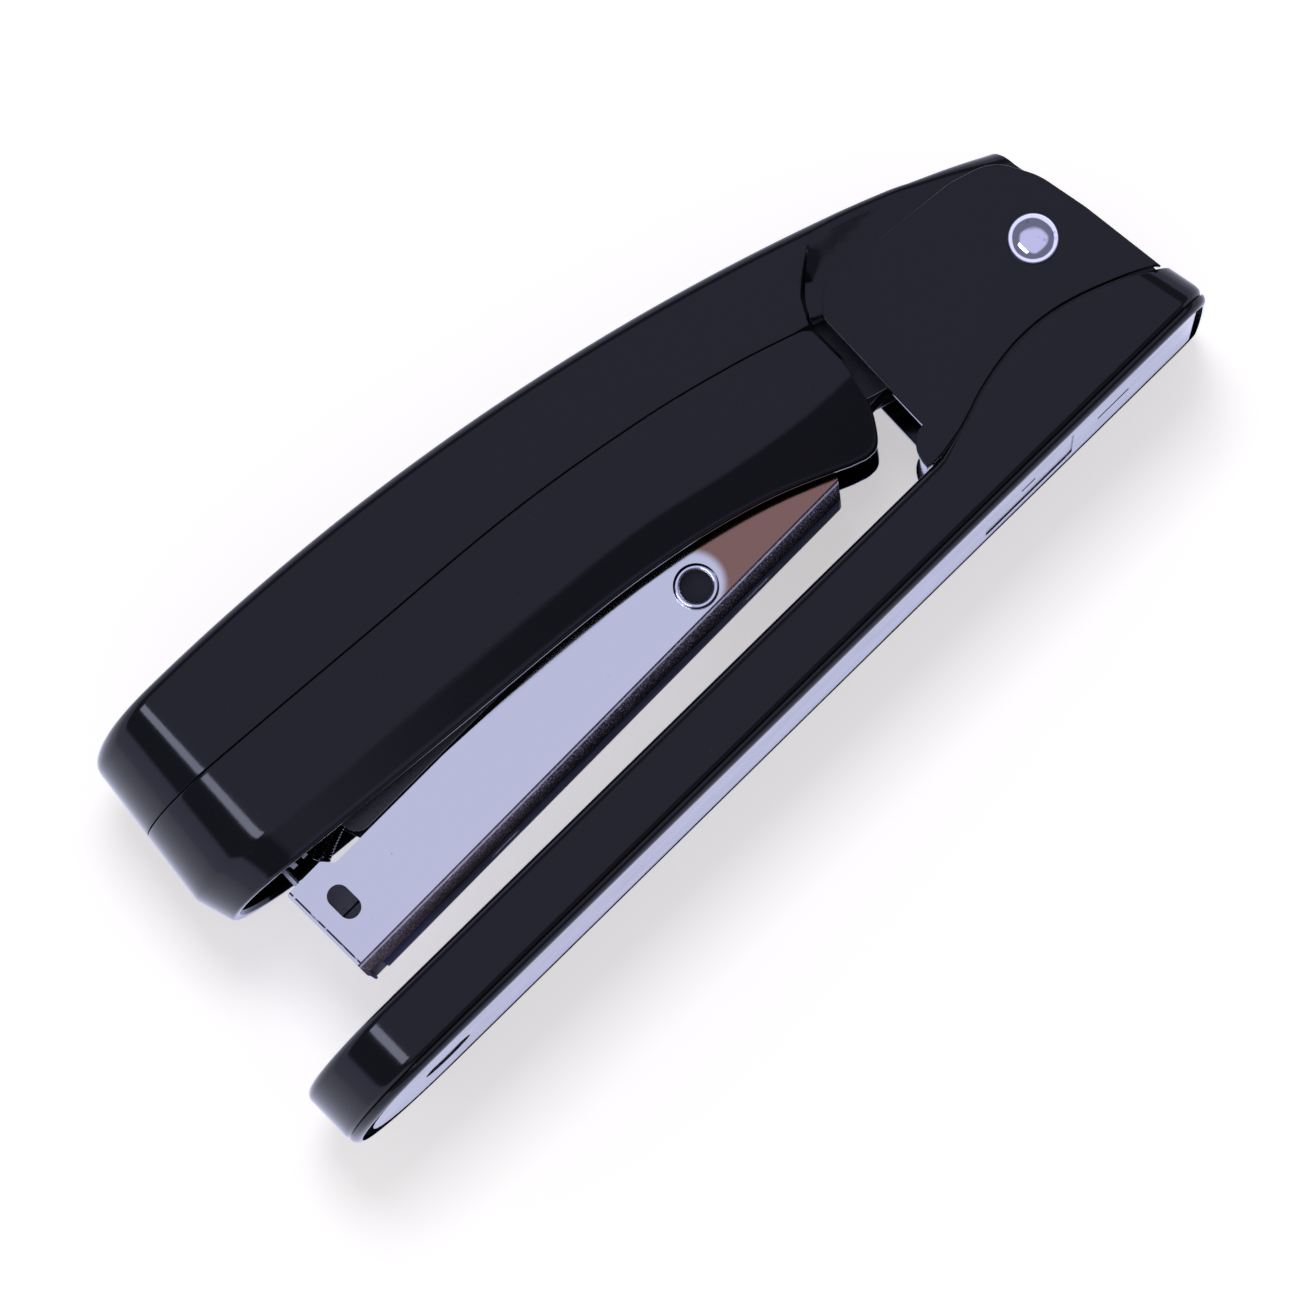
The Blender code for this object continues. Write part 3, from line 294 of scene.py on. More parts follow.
def multiplied(tree, first, second):
    both = node(tree, "ShaderNodeMath", (-500, 500), operation="MULTIPLY")
    tree.links.new(first, both.inputs[0])
    tree.links.new(second, both.inputs[1])
    return both.outputs[0]


def apart(tree, vector):
    split = node(tree, "ShaderNodeSeparateXYZ", (-900, 500))
    tree.links.new(vector, split.inputs[0])
    return split.outputs


def specks_on(tree, vector, scale, size, stretch=(1, 1, 1)):
    """1 on scattered spots of about the size given, as a share of their spacing."""
    squeeze = node(tree, "ShaderNodeMapping", (-1100, 700))
    squeeze.inputs["Scale"].default_value = stretch
    spots = node(tree, "ShaderNodeTexVoronoi", (-900, 700), Scale=scale)
    tree.links.new(vector, squeeze.inputs["Vector"])
    tree.links.new(squeeze.outputs[0], spots.inputs["Vector"])
    return ramp_between(tree, spots.outputs["Distance"], size, size * 0.5)


PLATE = (0.82, 0.84, 0.76)
# WARM_REFLECTION is a warm brown reflection painted onto the plate behind the eyelet.
WARM_REFLECTION = (0.33, 0.185, 0.125)
SCRATCH = (0.62, 0.63, 0.62)
PIT = (0.30, 0.29, 0.28)
HEM_SHADE = (0.02, 0.02, 0.025)
EYELET_SPOT = (-0.06035, -0.0075, 0.0008)


def make_bright_plate():
    """Bright sides: painted warm reflection behind the eyelet, bar a halo round it, and a hem line of
    painted shade.
    """
    material, tree, shader, place = start_material(
        "bright_plate", PLATE, 1.0, 0.05, 0.12, 0.05, 1600.0, 0.85, 60.0
    )
    level_place = magazine_place(tree, place)
    along = apart(tree, level_place)["X"]
    halo = node(tree, "ShaderNodeVectorMath", (-900, 900), operation="DISTANCE")
    halo.inputs[1].default_value = EYELET_SPOT
    tree.links.new(level_place, halo.inputs[0])
    past_halo = ramp_between(tree, halo.outputs["Value"], 0.0034, 0.0047)
    # The warm brown behind the eyelet is a painted reflection; the halo round the eyelet keeps the plain
    # plate.
    warm = multiplied(tree, ramp_between(tree, along, -0.0605, -0.0585), past_halo)
    wander = node(tree, "ShaderNodeTexNoise", (-900, 1100), Scale=900.0, Detail=3.0)
    tree.links.new(level_place, wander.inputs["Vector"])
    ragged = ramp_between(tree, wander.outputs["Fac"], 0.30, 0.44)
    hem_start = ramp_between(tree, along, -0.12408, -0.12402)
    hem_end = ramp_between(tree, along, -0.12378, -0.12386)
    hem_line = multiplied(tree, multiplied(tree, hem_start, hem_end), ragged)
    scratches = specks_on(tree, level_place, 300.0, 0.05, (0.15, 1, 1))
    pits = specks_on(tree, level_place, 350.0, 0.035)
    warmed = tinted(tree, warm, PLATE, WARM_REFLECTION, None)
    scratched = tinted(tree, scratches, warmed, SCRATCH, None)
    pitted = tinted(tree, pits, scratched, PIT, None)
    tinted(tree, hem_line, pitted, HEM_SHADE, shader)
    return material


FOLD_REAR = (0.075, 0.070, 0.075)
FOLD_FRONT = (0.20, 0.155, 0.15)
FOLD_SPECK = (0.58, 0.53, 0.55)
# The light line along the start of the fold is a painted highlight.
FOLD_HIGHLIGHT = (0.72, 0.70, 0.76)
FOLD_EDGE = (0.10, 0.08, 0.08)


def make_fold_plate():
    """The dull fold: speckled, warmer towards the front, with a painted highlight line and a dark edge."""
    material, tree, shader, place = start_material(
        "fold_plate", (0.3, 0.3, 0.3), 1.0, 0.50, 0.72, 0.6, 5200.0, 0.2, 900.0
    )
    level_place = magazine_place(tree, place)
    axes = apart(tree, level_place)
    speckle = node(tree, "ShaderNodeTexNoise", (-900, 900), Scale=5200.0, Detail=3.0, Roughness=0.8)
    tree.links.new(level_place, speckle.inputs["Vector"])
    speck = ramp_between(tree, speckle.outputs["Fac"], 0.50, 0.64)
    shader.inputs["Specular Tint"].default_value = (0.25, 0.25, 0.28, 1)
    front = ramp_between(tree, axes["X"], -0.085, -0.105)
    # A narrow band of painted highlight along the fold.
    highlight_foot = ramp_between(tree, axes["Z"], -0.00345, -0.00335)
    highlight_top = ramp_between(tree, axes["Z"], -0.00315, -0.00325)
    edge = ramp_between(tree, axes["Z"], -0.00315, -0.0030)
    dull = tinted(tree, front, FOLD_REAR, FOLD_FRONT, None)
    speckled = tinted(tree, speck, dull, FOLD_SPECK, None)
    highlighted = tinted(tree, multiplied(tree, highlight_foot, highlight_top), speckled, FOLD_HIGHLIGHT, None)
    tinted(tree, edge, highlighted, FOLD_EDGE, shader)
    return material


# %% Other metals
def make_steel(name, colour, low, high, bump=0.08, grain=2600.0, stained=(0.12, 0.11, 0.10)):
    """Steel with its gloss mottled and a few darker stains."""
    material, tree, shader, place = start_material(name, colour, 1.0, low, high, bump, grain, 0.5, 220.0)
    stain = node(tree, "ShaderNodeTexNoise", (-900, 900), Scale=380.0, Detail=4.0, Roughness=0.7)
    tree.links.new(place, stain.inputs["Vector"])
    tinted(tree, ramp_between(tree, stain.outputs["Fac"], 0.62, 0.78), colour, stained, shader)
    return material


BRIGHT_PLATE = make_bright_plate()
FOLD_PLATE = make_fold_plate()
# The underside's darker grey blue, and its darker rim tint below, are painted shade.
SHADED_UNDERSIDE = make_steel("underside_painted_shade", (0.125, 0.130, 0.240), 0.38, 0.5)
# The inside of the channel is coloured darker than the sides, with a darker rim tint, as painted shade.
INSIDE_PLATE = make_steel("inside_plate_painted_shade", (0.45, 0.43, 0.44), 0.30, 0.45)
for painted_shade_finish, rim_tint in ((SHADED_UNDERSIDE, (0.05, 0.055, 0.10, 1)), (INSIDE_PLATE, (0.20, 0.18, 0.20, 1))):
    painted_shade_finish.node_tree.nodes["Principled BSDF"].inputs["Specular Tint"].default_value = rim_tint
DARK_STEEL = make_steel("blackened_steel", (0.045, 0.042, 0.045), 0.25, 0.40)
CHROME = make_steel("polished_chrome", (0.86, 0.86, 0.88), 0.02, 0.06, 0.02)
BRUSHED = make_steel("brushed_steel", (0.50, 0.50, 0.52), 0.22, 0.36, 0.12, 3800.0)
SPRING_STEEL = make_steel("spring_steel", (0.42, 0.42, 0.44), 0.16, 0.30, 0.06)
# The arched spring's dark colour is painted shade under the front of the handle.
SHADED_SPRING = make_steel("spring_painted_shade", (0.14, 0.14, 0.15), 0.18, 0.30, 0.06)
print("metals", BRIGHT_PLATE.name, FOLD_PLATE.name, SHADED_UNDERSIDE.name, CHROME.name, BRUSHED.name)


# %% [markdown]
# ### Black painted steel and dull black plastic
# The bracket and the handle's frame are pressed steel under thin black paint, rubbed paler in
# small spots. The anchor and the bottom plate are duller black mouldings.

# %% Painted steel and dull plastic
BLACK_PAINT = (0.010, 0.010, 0.012)


def make_painted_steel(name):
    material, tree, shader, place = start_material(
        name, BLACK_PAINT, 0.0, 0.30, 0.46, 0.25, 3000.0, 0.4, 160.0
    )
    worn = specks_on(tree, place, 520.0, 0.06)
    tinted(tree, worn, BLACK_PAINT, (0.05, 0.048, 0.046), shader)
    return material


PAINTED = make_painted_steel("painted_steel")
DULL_PLASTIC = make_plastic("dull_black_plastic", 0.28, 0.40, 0.15)
PLATE_PLASTIC = make_plastic("bottom_plate_plastic", 0.10, 0.16, 0.45)
print("dark finishes", PAINTED.name, DULL_PLASTIC.name, PLATE_PLASTIC.name)

# %% [markdown]
# ## Helpers for making pieces
# Every piece is worked in millimetres in a bmesh and turned into metres when it is finished.
# A moulded shell grows like a coiled pot: one ring is laid down, extruded, and the new ring is
# laid a little further on. A skin that starts and ends in a spine closes by merging its doubles.

# %% Make an object from a bmesh
MAGAZINE_FRAME = Matrix.Translation(PIVOT / MM) @ Matrix.Rotation(MAGAZINE_TILT, 4, "Y")


def finished(name, bm, body, nodes, material, local=False, sharp=40):
    """The bmesh as an object of the stapler: metres, smooth faces, riding on its body."""
    if local:
        bmesh.ops.transform(bm, matrix=MAGAZINE_FRAME, verts=bm.verts)
    bmesh.ops.scale(bm, vec=(MM, MM, MM), verts=bm.verts)
    mesh = bpy.data.meshes.new(name)
    bm.to_mesh(mesh)
    bm.free()
    mesh.shade_smooth()
    mesh.set_sharp_from_angle(angle=math.radians(sharp))
    mesh.materials.append(material)
    obj = bpy.data.objects.new(name, mesh)
    bpy.context.scene.collection.objects.link(obj)
    if body:
        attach(obj, body)
    if nodes:
        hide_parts(*nodes)
    print(name, len(mesh.polygons), "faces")
    return obj


# %% Grow a skin ring by ring
def new_verts(made):
    return [item for item in made["geom"] if isinstance(item, bmesh.types.BMVert)]


def new_edges(made):
    return [item for item in made["geom"] if isinstance(item, bmesh.types.BMEdge)]


def ring_skin(rings, cap_last=False):
    """A skin through closed rings, each with the same number of points."""
    bm = bmesh.new()
    place = bm.verts.layers.int.new("place")
    circle = bmesh.ops.create_circle(bm, segments=len(rings[0]), radius=1)["verts"]
    for number, vert in enumerate(circle):
        vert[place] = number
        vert.co = rings[0][number]
    edges = list(bm.edges)
    for ring in rings[1:]:
        made = bmesh.ops.extrude_edge_only(bm, edges=edges)
        for vert in new_verts(made):
            vert.co = ring[vert[place]]
        edges = new_edges(made)
    if cap_last:
        bmesh.ops.contextual_create(bm, geom=edges)
    return bm


def closed_up(bm, distance=0.002):
    bmesh.ops.remove_doubles(bm, verts=bm.verts, dist=distance)
    bmesh.ops.dissolve_degenerate(bm, edges=bm.edges, dist=0.0005)
    bmesh.ops.recalc_face_normals(bm, faces=bm.faces)
    return bm


# %% Curves and outlines
def smooth_curve(knots):
    """z(x) through the knots, with the slope at each one taken from its neighbours."""
    count = len(knots)
    slopes = []
    for i in range(count):
        before, after = knots[max(i - 1, 0)], knots[min(i + 1, count - 1)]
        slopes.append((after[1] - before[1]) / (after[0] - before[0]))

    def at(x):
        x = min(max(x, knots[0][0]), knots[-1][0])
        i = 0
        while i < count - 2 and x > knots[i + 1][0]:
            i += 1
        (x0, z0), (x1, z1) = knots[i], knots[i + 1]
        step = x1 - x0
        t = (x - x0) / step
        rise = z0 * (1 + 2 * t) * (1 - t) ** 2 + z1 * t * t * (3 - 2 * t)
        return rise + slopes[i] * step * t * (1 - t) ** 2 + slopes[i + 1] * step * t * t * (t - 1)

    return at


def spread(start, end, count):
    return [start + (end - start) * i / (count - 1) for i in range(count)]


def clamp(value, low=0.0, high=1.0):
    return min(max(value, low), high)


def ease(value):
    value = clamp(value)
    return value * value * (3 - 2 * value)


def rounded(corners, steps=8):
    """Outline through (u, v, radius) corners, each turned on an arc of its radius."""
    outline = []
    count = len(corners)
    for i, (u, v, radius) in enumerate(corners):
        here = Vector((u, v))
        if radius <= 0:
            outline.append(here)
            continue
        to_last = (Vector(corners[i - 1][:2]) - here).normalized()
        to_next = (Vector(corners[(i + 1) % count][:2]) - here).normalized()
        half = to_last.angle(to_next) / 2
        reach = radius / math.tan(half)
        centre = here + (to_last + to_next).normalized() * radius / math.sin(half)
        first = here + to_last * reach - centre
        turn = first.angle_signed(here + to_next * reach - centre)
        for k in range(steps + 1):
            c, s = math.cos(-turn * k / steps), math.sin(-turn * k / steps)
            outline.append(centre + Vector((c * first.x - s * first.y, s * first.x + c * first.y)))
    return outline


# %% Slabs, boxes, bars and turned shapes
PLANES = {
    "XZ": lambda u, v, w: (u, w, v),
    "YZ": lambda u, v, w: (w, u, v),
    "XY": lambda u, v, w: (u, v, w),
}


def slab(outline, low, high, plane="XZ", edge=0.0, segments=4):
    """A flat outline given a thickness, with its rims rounded over by edge."""
    stand = PLANES[plane]
    bm = bmesh.new()
    circle = bmesh.ops.create_circle(bm, segments=len(outline), radius=1)["verts"]
    for vert, (u, v) in zip(circle, outline):
        vert.co = stand(u, v, low)
    face = bmesh.ops.contextual_create(bm, geom=list(bm.edges))["faces"]
    made = bmesh.ops.extrude_face_region(bm, geom=face)
    step = Vector(stand(0, 0, high)) - Vector(stand(0, 0, low))
    bmesh.ops.translate(bm, vec=step, verts=new_verts(made))
    bmesh.ops.recalc_face_normals(bm, faces=bm.faces)
    if edge > 0:
        rims = [e for e in bm.edges if any(len(f.verts) > 4 for f in e.link_faces)]
        bmesh.ops.bevel(
            bm, geom=rims, offset=edge, offset_type="OFFSET", affect="EDGES", segments=segments,
            profile=0.5, material=-1, clamp_overlap=True,
        )
    return bm


def box(low, high, edge=0.0, segments=3):
    bm = bmesh.new()
    bmesh.ops.create_cube(bm, size=1.0)
    bmesh.ops.scale(bm, vec=[b - a for a, b in zip(low, high)], verts=bm.verts)
    bmesh.ops.translate(bm, vec=[(a + b) / 2 for a, b in zip(low, high)], verts=bm.verts)
    if edge > 0:
        bmesh.ops.bevel(
            bm, geom=list(bm.edges), offset=edge, offset_type="OFFSET", affect="EDGES",
            segments=segments, profile=0.5, material=-1,
        )
    return bm


def bar(radius, start, end, sides=64):
    a, b = Vector(start), Vector(end)
    bm = bmesh.new()
    turn = (b - a).to_track_quat("Z", "Y").to_matrix().to_4x4()
    bmesh.ops.create_cone(
        bm, cap_ends=True, segments=sides, radius1=radius, radius2=radius, depth=(b - a).length,
        matrix=Matrix.Translation((a + b) / 2) @ turn,
    )
    return bm


def turned(profile, centre, axis, steps=72):
    """(radius, height) points spun round the axis through centre."""
    bm = bmesh.new()
    points = [bm.verts.new((r, 0, h)) for r, h in profile]
    edges = [bm.edges.new(pair) for pair in zip(points, points[1:])]
    if profile[0][0] > 0:
        edges.append(bm.edges.new((points[-1], points[0])))
    bmesh.ops.spin(
        bm, geom=points + edges, cent=(0, 0, 0), axis=(0, 0, 1), angle=math.tau, steps=steps,
        use_merge=True,
    )
    turn = Vector(axis).to_track_quat("Z", "Y").to_matrix().to_4x4()
    bmesh.ops.transform(bm, matrix=Matrix.Translation(centre) @ turn, verts=bm.verts)
    return closed_up(bm, 1e-4)


# %% Cut and join
def as_tool(bm, name):
    mesh = bpy.data.meshes.new(name)
    bm.to_mesh(mesh)
    bm.free()
    tool = bpy.data.objects.new(name, mesh)
    bpy.context.scene.collection.objects.link(tool)
    return tool


def carved(bm, cuts=(), joins=(), keeps=()):
    """The bmesh after others are joined to it, cut from it, or kept as its only room."""
    body = as_tool(bm, "carving")
    tools = []
    for operation, shapes in (("UNION", joins), ("INTERSECT", keeps), ("DIFFERENCE", cuts)):
        for shape in shapes:
            tool = as_tool(shape, "tool")
            tools.append(tool)
            change = body.modifiers.new(operation, "BOOLEAN")
            change.operation = operation
            change.object = tool
            change.solver = "EXACT"
    bpy.context.view_layer.update()
    graph = bpy.context.evaluated_depsgraph_get()
    mesh = bpy.data.meshes.new_from_object(body.evaluated_get(graph))
    result = bmesh.new()
    result.from_mesh(mesh)
    for used in (body, *tools):
        bpy.data.objects.remove(used, do_unlink=True)
    bpy.data.meshes.remove(mesh)
    bmesh.ops.remove_doubles(result, verts=result.verts, dist=1e-4)
    return result


# %% [markdown]
# ## The handle's outer form
# The handle is one flowing shape split along a seam into an upper cover and a lower skirt. Both
# come from the same plan: a rounded nose, straight sides, a shoulder on an arc about the pin, and
# a neck that passes between the ears.

# %% Shape of the handle
HALF = 16.1
WALL = 1.7
PIN_HOLE_RADIUS = 2.05
NOSE_X = -53.5
NOSE_LENGTH = 14.85
NOSE_LEAN = 0.12
RIDGE_Z = 36.6
REAR_X = 73.5
REAR_CORNER = 3.0
REAR_BOW = 0.25
REAR_LEAN, REAR_LEAN_Z = 0.25, 18.5
TAIL_X = 58.0
NECK_HALF = 14.7
SHOULDER_RADIUS = 28.8
PIN_X, PIN_Z = PIVOT.x / MM, PIVOT.z / MM
TOP_ARC = (-54.0, 58.8, 310.0)
SEAM = smooth_curve([(-70, 46.9), (-56, 46.2), (-30, 44.3), (-5, 42.3), (15, 39.1), (28, 35.9), (37, 33.0)])
CREASE = smooth_curve(
    [(-70, 36.8), (-54, 35.3), (-30, 34.0), (-10, 32.2), (5, 30.4), (18, 27.5), (28, 25.9), (38, 25.3)]
)
RIM = smooth_curve(
    [(-70, 31.6), (-54, 30.0), (-30, 27.9), (-10, 26.3), (0, 25.2), (10, 23.4), (20, 20.6), (31, 16.0)]
)
REAR_RIM = smooth_curve([(39.2, 32.7), (50, 24.0), (58, 16.8), (64, 15.2), (70, 16.0), (73.5, 18.3)])


def handle_top(x):
    start, height, radius = TOP_ARC
    run = max(x - start, 0.0)
    return height - (radius - math.sqrt(radius**2 - run * run))


def half_width(z):
    return HALF - 0.02 * max(z - 35.0, 0.0)


def shoulder_x(z):
    rise = clamp(z - PIN_Z, 0.0, SHOULDER_RADIUS - 1)
    return PIN_X - math.sqrt(SHOULDER_RADIUS**2 - rise * rise)


def neck_depth(z):
    return (half_width(z) - NECK_HALF) * clamp((40.5 - z) / 4.0)


def oval(power, count):
    """A quarter of a rounded nose: (share ahead, share across), from its tip to its side."""
    quarter = []
    for angle in spread(0, math.pi / 2, count):
        ahead = max(math.cos(angle), 0.0) ** (2 / power)
        across = math.sin(angle) ** (2 / power)
        quarter.append((ahead if angle < math.pi / 2 else 0.0, across))
    return quarter


def handle_ring(height_at, inset):
    """One ring round the handle at height_at(x), moved inwards by inset."""
    half = []
    for ahead, across in oval(2.1, 33):
        z = height_at(NOSE_X - NOSE_LENGTH * ahead)
        lean = NOSE_LEAN * (z - RIDGE_Z) * ahead
        half.append((NOSE_X - (NOSE_LENGTH - inset) * ahead + lean, across * (half_width(z) - inset), z))
    edge = shoulder_x(height_at(43.0))
    for x in spread(NOSE_X, edge - 0.1, 46)[1:]:
        z = height_at(x)
        half.append((x, half_width(z) - inset, z))
    for share in spread(0, 1, 7)[1:]:
        x = edge - 0.1 + 0.5 * share
        z = height_at(x)
        half.append((x, half_width(z) - neck_depth(z) * ease(share) - inset, z))
    rear = REAR_X - inset - REAR_BOW
    for x in spread(edge + 0.5, rear - REAR_CORNER, 18)[1:]:
        z = height_at(x)
        half.append((x, half_width(z) - neck_depth(z) - inset, z))
    for angle in spread(0, math.pi / 2, 8)[1:]:
        x = rear - REAR_CORNER * (1 - math.sin(angle))
        z = height_at(x)
        width = half_width(z) - neck_depth(z) - inset - REAR_CORNER * (1 - math.cos(angle))
        half.append((x - REAR_LEAN * (z - REAR_LEAN_Z) * math.sin(angle), width, z))
    x, width, z = half[-1]
    half += [(x + REAR_BOW * (1 - s * s), width * s, z) for s in (0.66, 0.33)]
    half.append((x + REAR_BOW, 0.0, z))
    return half + [(x, -y, z) for x, y, z in half[-2:0:-1]]


print("handle ring of", len(handle_ring(handle_top, 0.0)), "points")

# %% [markdown]
# ### Upper cover
# The cover starts inside at its ceiling, comes down the inner wall, turns round the rim, climbs
# the outer wall, rolls over the top edge on a small radius and closes over a low crown.

# %% Upper cover
def pulled_in(point, distance):
    """A point of the outline moved towards the handle's middle line, as far as it can be."""
    x, y, z = point
    across = max(abs(y) - distance, 0.0) * (1 if y > 0 else -1)
    share = clamp(abs(y) / max(half_width(z), 1.0))
    along = distance * math.sqrt(max(1.0 - share * share, 0.0))
    if x < NOSE_X:
        x = min(x + along, NOSE_X)
    elif x > TAIL_X:
        x = max(x - along, TAIL_X)
    return (x, across, z)


LIP = 0.09
SEAM_GAP = 0.16
CEILING = 1.6
CROWN_RISE, CROWN_DROP, CROWN_REACH = 0.75, 0.35, 14.5


def cover_rim(x):
    return SEAM(x) if x < 38.0 else REAR_RIM(x)


def edge_radius(x):
    """The top edge's radius, which grows towards the nose's tip and the tail."""
    nose = clamp((NOSE_X - 2.0 - x) / 9.0)
    tail = clamp((x - TAIL_X) / 12.0)
    return 1.4 + 0.8 * nose * nose + 2.0 * tail * tail


def between(low, high, share, drop=0.0):
    return lambda x: low(x) + share * (high(x) - drop - low(x))


def shoulder(x):
    """Where the outer wall ends and the top edge's radius starts."""
    return handle_top(x) - edge_radius(x)


def cover_rings():
    rings = []
    ceiling = [(x, y, z - CEILING) for x, y, z in handle_ring(handle_top, 0.0)]
    for distance in (15.9, 13.0, 8.0, 4.5):
        rings.append([pulled_in(point, distance) for point in ceiling])
    for share in (1.0, 0.7, 0.35):
        rings.append(handle_ring(between(cover_rim, handle_top, share, 3.2), WALL))
    rings.append(handle_ring(lambda x: cover_rim(x) + 0.25, WALL))
    rings.append(handle_ring(cover_rim, WALL - 0.25))
    for angle in spread(0, math.pi / 2, 4):
        lift = LIP * (1 - math.cos(angle))
        rings.append(handle_ring(lambda x, lift=lift: cover_rim(x) + lift, LIP * (1 - math.sin(angle))))
    for share in spread(0.06, 0.97, 14):
        rings.append(handle_ring(between(cover_rim, shoulder, share), 0.0))
    for angle in spread(0, math.pi / 2, 10):
        def height(x, angle=angle):
            return handle_top(x) - edge_radius(x) * (1 - math.sin(angle))
        ring = handle_ring(height, 0.0)
        rings.append([pulled_in(p, edge_radius(p[0]) * (1 - math.cos(angle))) for p in ring])
    for distance in (3.0, 5.0, 8.0, 11.0, 14.0, 15.9):
        crown = []
        for x, y, z in handle_ring(handle_top, 0.0):
            reach = max(distance, edge_radius(x))
            full_rise = CROWN_RISE - CROWN_DROP * clamp((x - 50.0) / 12.0)
            rise = full_rise * (1 - (1 - clamp((reach - edge_radius(x)) / CROWN_REACH)) ** 2)
            crown.append(pulled_in((x, y, z + rise), reach))
        rings.append(crown)
    return rings


SCREW_X = -19.0
BOSS_RADIUS, BOSS_FOOT = 3.2, 39.6
SCREW_HOLE_RADIUS = 1.6


def pin_hole():
    return bar(PIN_HOLE_RADIUS, (PIN_X, -20, PIN_Z), (PIN_X, 20, PIN_Z))


def make_top_cover(material):
    rings = cover_rings()
    rings.insert(0, [(x, 0.0, z) for x, y, z in rings[0]])
    rings.append([(x, 0.0, z + 0.01) for x, y, z in rings[-1]])
    cover = closed_up(ring_skin(rings))
    boss = bar(BOSS_RADIUS, (SCREW_X, 0, BOSS_FOOT), (SCREW_X, 0, handle_top(SCREW_X) - 0.8))
    screw_hole = bar(SCREW_HOLE_RADIUS, (SCREW_X, 0, 36), (SCREW_X, 0, 48), 32)
    cover = carved(cover, joins=[boss], cuts=[pin_hole(), screw_hole])
    return finished("upper_cover", cover, "handle", ["top_cover"], material)


# %% [markdown]
# ### Lower skirt
# The skirt is one band bent round the nose like a horseshoe. Its wall drops straight from the
# seam, turns inwards at a soft crease and ends in a rounded rim. At the tail the band is rounded
# off so that it clears the ears as the handle swings.

# %% Lower skirt
SKIRT_END = 37.6
TAIL_ARC = 1.8
END_RADIUS = 0.45
RIM_RADIUS = 0.5


def tail_top(x):
    """The seam's height, brought down on an arc at the band's rear end."""
    reach = clamp((x - (SKIRT_END - TAIL_ARC)) / TAIL_ARC)
    return SEAM(x) - SEAM_GAP - TAIL_ARC * (1 - math.sqrt(1 - reach * reach))


TAIL_RIM = smooth_curve(
    [(29.5, 16.55), (31.5, 16.1), (33.2, 16.35), (34.8, 18.2), (36.2, 21.0), (36.9, 24.5), (SKIRT_END, 28.5)]
)


def skirt_rim(x):
    return RIM(x) if x < 30.0 else TAIL_RIM(x)


def skirt_section(ahead, across, x, shrink=0.0):
    """The band's section, from its lip down the outside, round the rim and up the inside."""
    place = x - NOSE_LENGTH * ahead
    top = tail_top(place) - shrink
    crease = CREASE(place)
    rim = skirt_rim(place) + shrink
    slope = 0.30 + 0.12 * clamp((x + 54) / 86)
    wall = WALL - shrink
    soft = 0.3 + 1.1 * clamp((place + 62.0) / 40.0)

    def outer(z):
        """How far the outer face is tucked in at a height, with the crease rounded over."""
        below = crease - z
        if below < -soft:
            return shrink
        if below > soft:
            return slope * below + shrink
        return slope * (below + soft) ** 2 / (4 * soft) + shrink

    heights = [top - LIP * (1 - math.sin(a)) for a in spread(math.pi / 2, 0, 4)]
    lips = [LIP * (1 - math.cos(a)) for a in spread(math.pi / 2, 0, 4)]
    low = rim + RIM_RADIUS
    heights += spread(top - 0.6, max(crease + soft, low + 0.4), 7)
    heights += spread(min(crease + soft, top - 1.0), low, 12)[1:]
    lips += [0.0] * (len(heights) - len(lips))
    points = [(outer(z) + lip, z) for z, lip in zip(heights, lips)]
    foot = outer(low)
    for angle in spread(0, math.pi / 2, 5)[1:]:
        points.append((foot + RIM_RADIUS * (1 - math.cos(angle)), low - RIM_RADIUS * math.sin(angle)))
    points.append((foot + wall - 0.4, rim))
    points.append((foot + wall, low))
    inner_crease = max(crease - 0.6, low)
    points.append((outer(inner_crease) + wall, inner_crease))
    points.append((wall + shrink, max((top + crease) / 2, inner_crease + 0.2)))
    points.append((wall + shrink, top - 0.2))
    points.append((wall - 0.2, top))
    section = []
    for inset, z in points:
        lean = NOSE_LEAN * max(z - RIDGE_Z, 0.0) * ahead
        section.append((x - (NOSE_LENGTH - inset) * ahead + lean, (half_width(z) - inset) * across, z))
    return section


def make_lower_skirt(material):
    nose = oval(2.1, 33)
    sides = spread(NOSE_X, 31.0, 44)[1:] + spread(31.0, 36.2, 14)[1:]
    sides += [36.2 + 0.95 * math.sin(a) for a in spread(0, math.pi / 2, 10)[1:]]
    path = [(0.0, -1.0, x) for x in sides[::-1]]
    path += [(ahead, -across, NOSE_X) for ahead, across in nose[::-1]]
    path += [(ahead, across, NOSE_X) for ahead, across in nose[1:]]
    path += [(0.0, 1.0, x) for x in sides]
    rings = [skirt_section(*place) for place in path]
    ends = []
    for side in (-1.0, 1.0):
        turned_in = []
        for angle in spread(0, math.pi / 2, 5)[1:]:
            x = SKIRT_END - END_RADIUS * (1 - math.sin(angle))
            turned_in.append(skirt_section(0.0, side, x, END_RADIUS * (1 - math.cos(angle))))
        ends.append(turned_in)
    rings = ends[0][::-1] + rings + ends[1]
    skirt = ring_skin(rings, cap_last=True)
    bmesh.ops.contextual_create(skirt, geom=[edge for edge in skirt.edges if edge.is_boundary])
    bmesh.ops.recalc_face_normals(skirt, faces=skirt.faces)
    return finished("lower_skirt_band", skirt, "handle", ["lower_skirt"], material)


# %% [markdown]
# ## Base
# The base is a shallow tray seen from outside: a rounded nose, straight sides, a small radius
# round the deck, and a tail whose upper edge sweeps up in a long S to meet the hinge housing. It
# grows ring by ring like the handle. The round recess for the anvil and the room for the housing
# are carved out of it afterwards, as a mould would leave them.

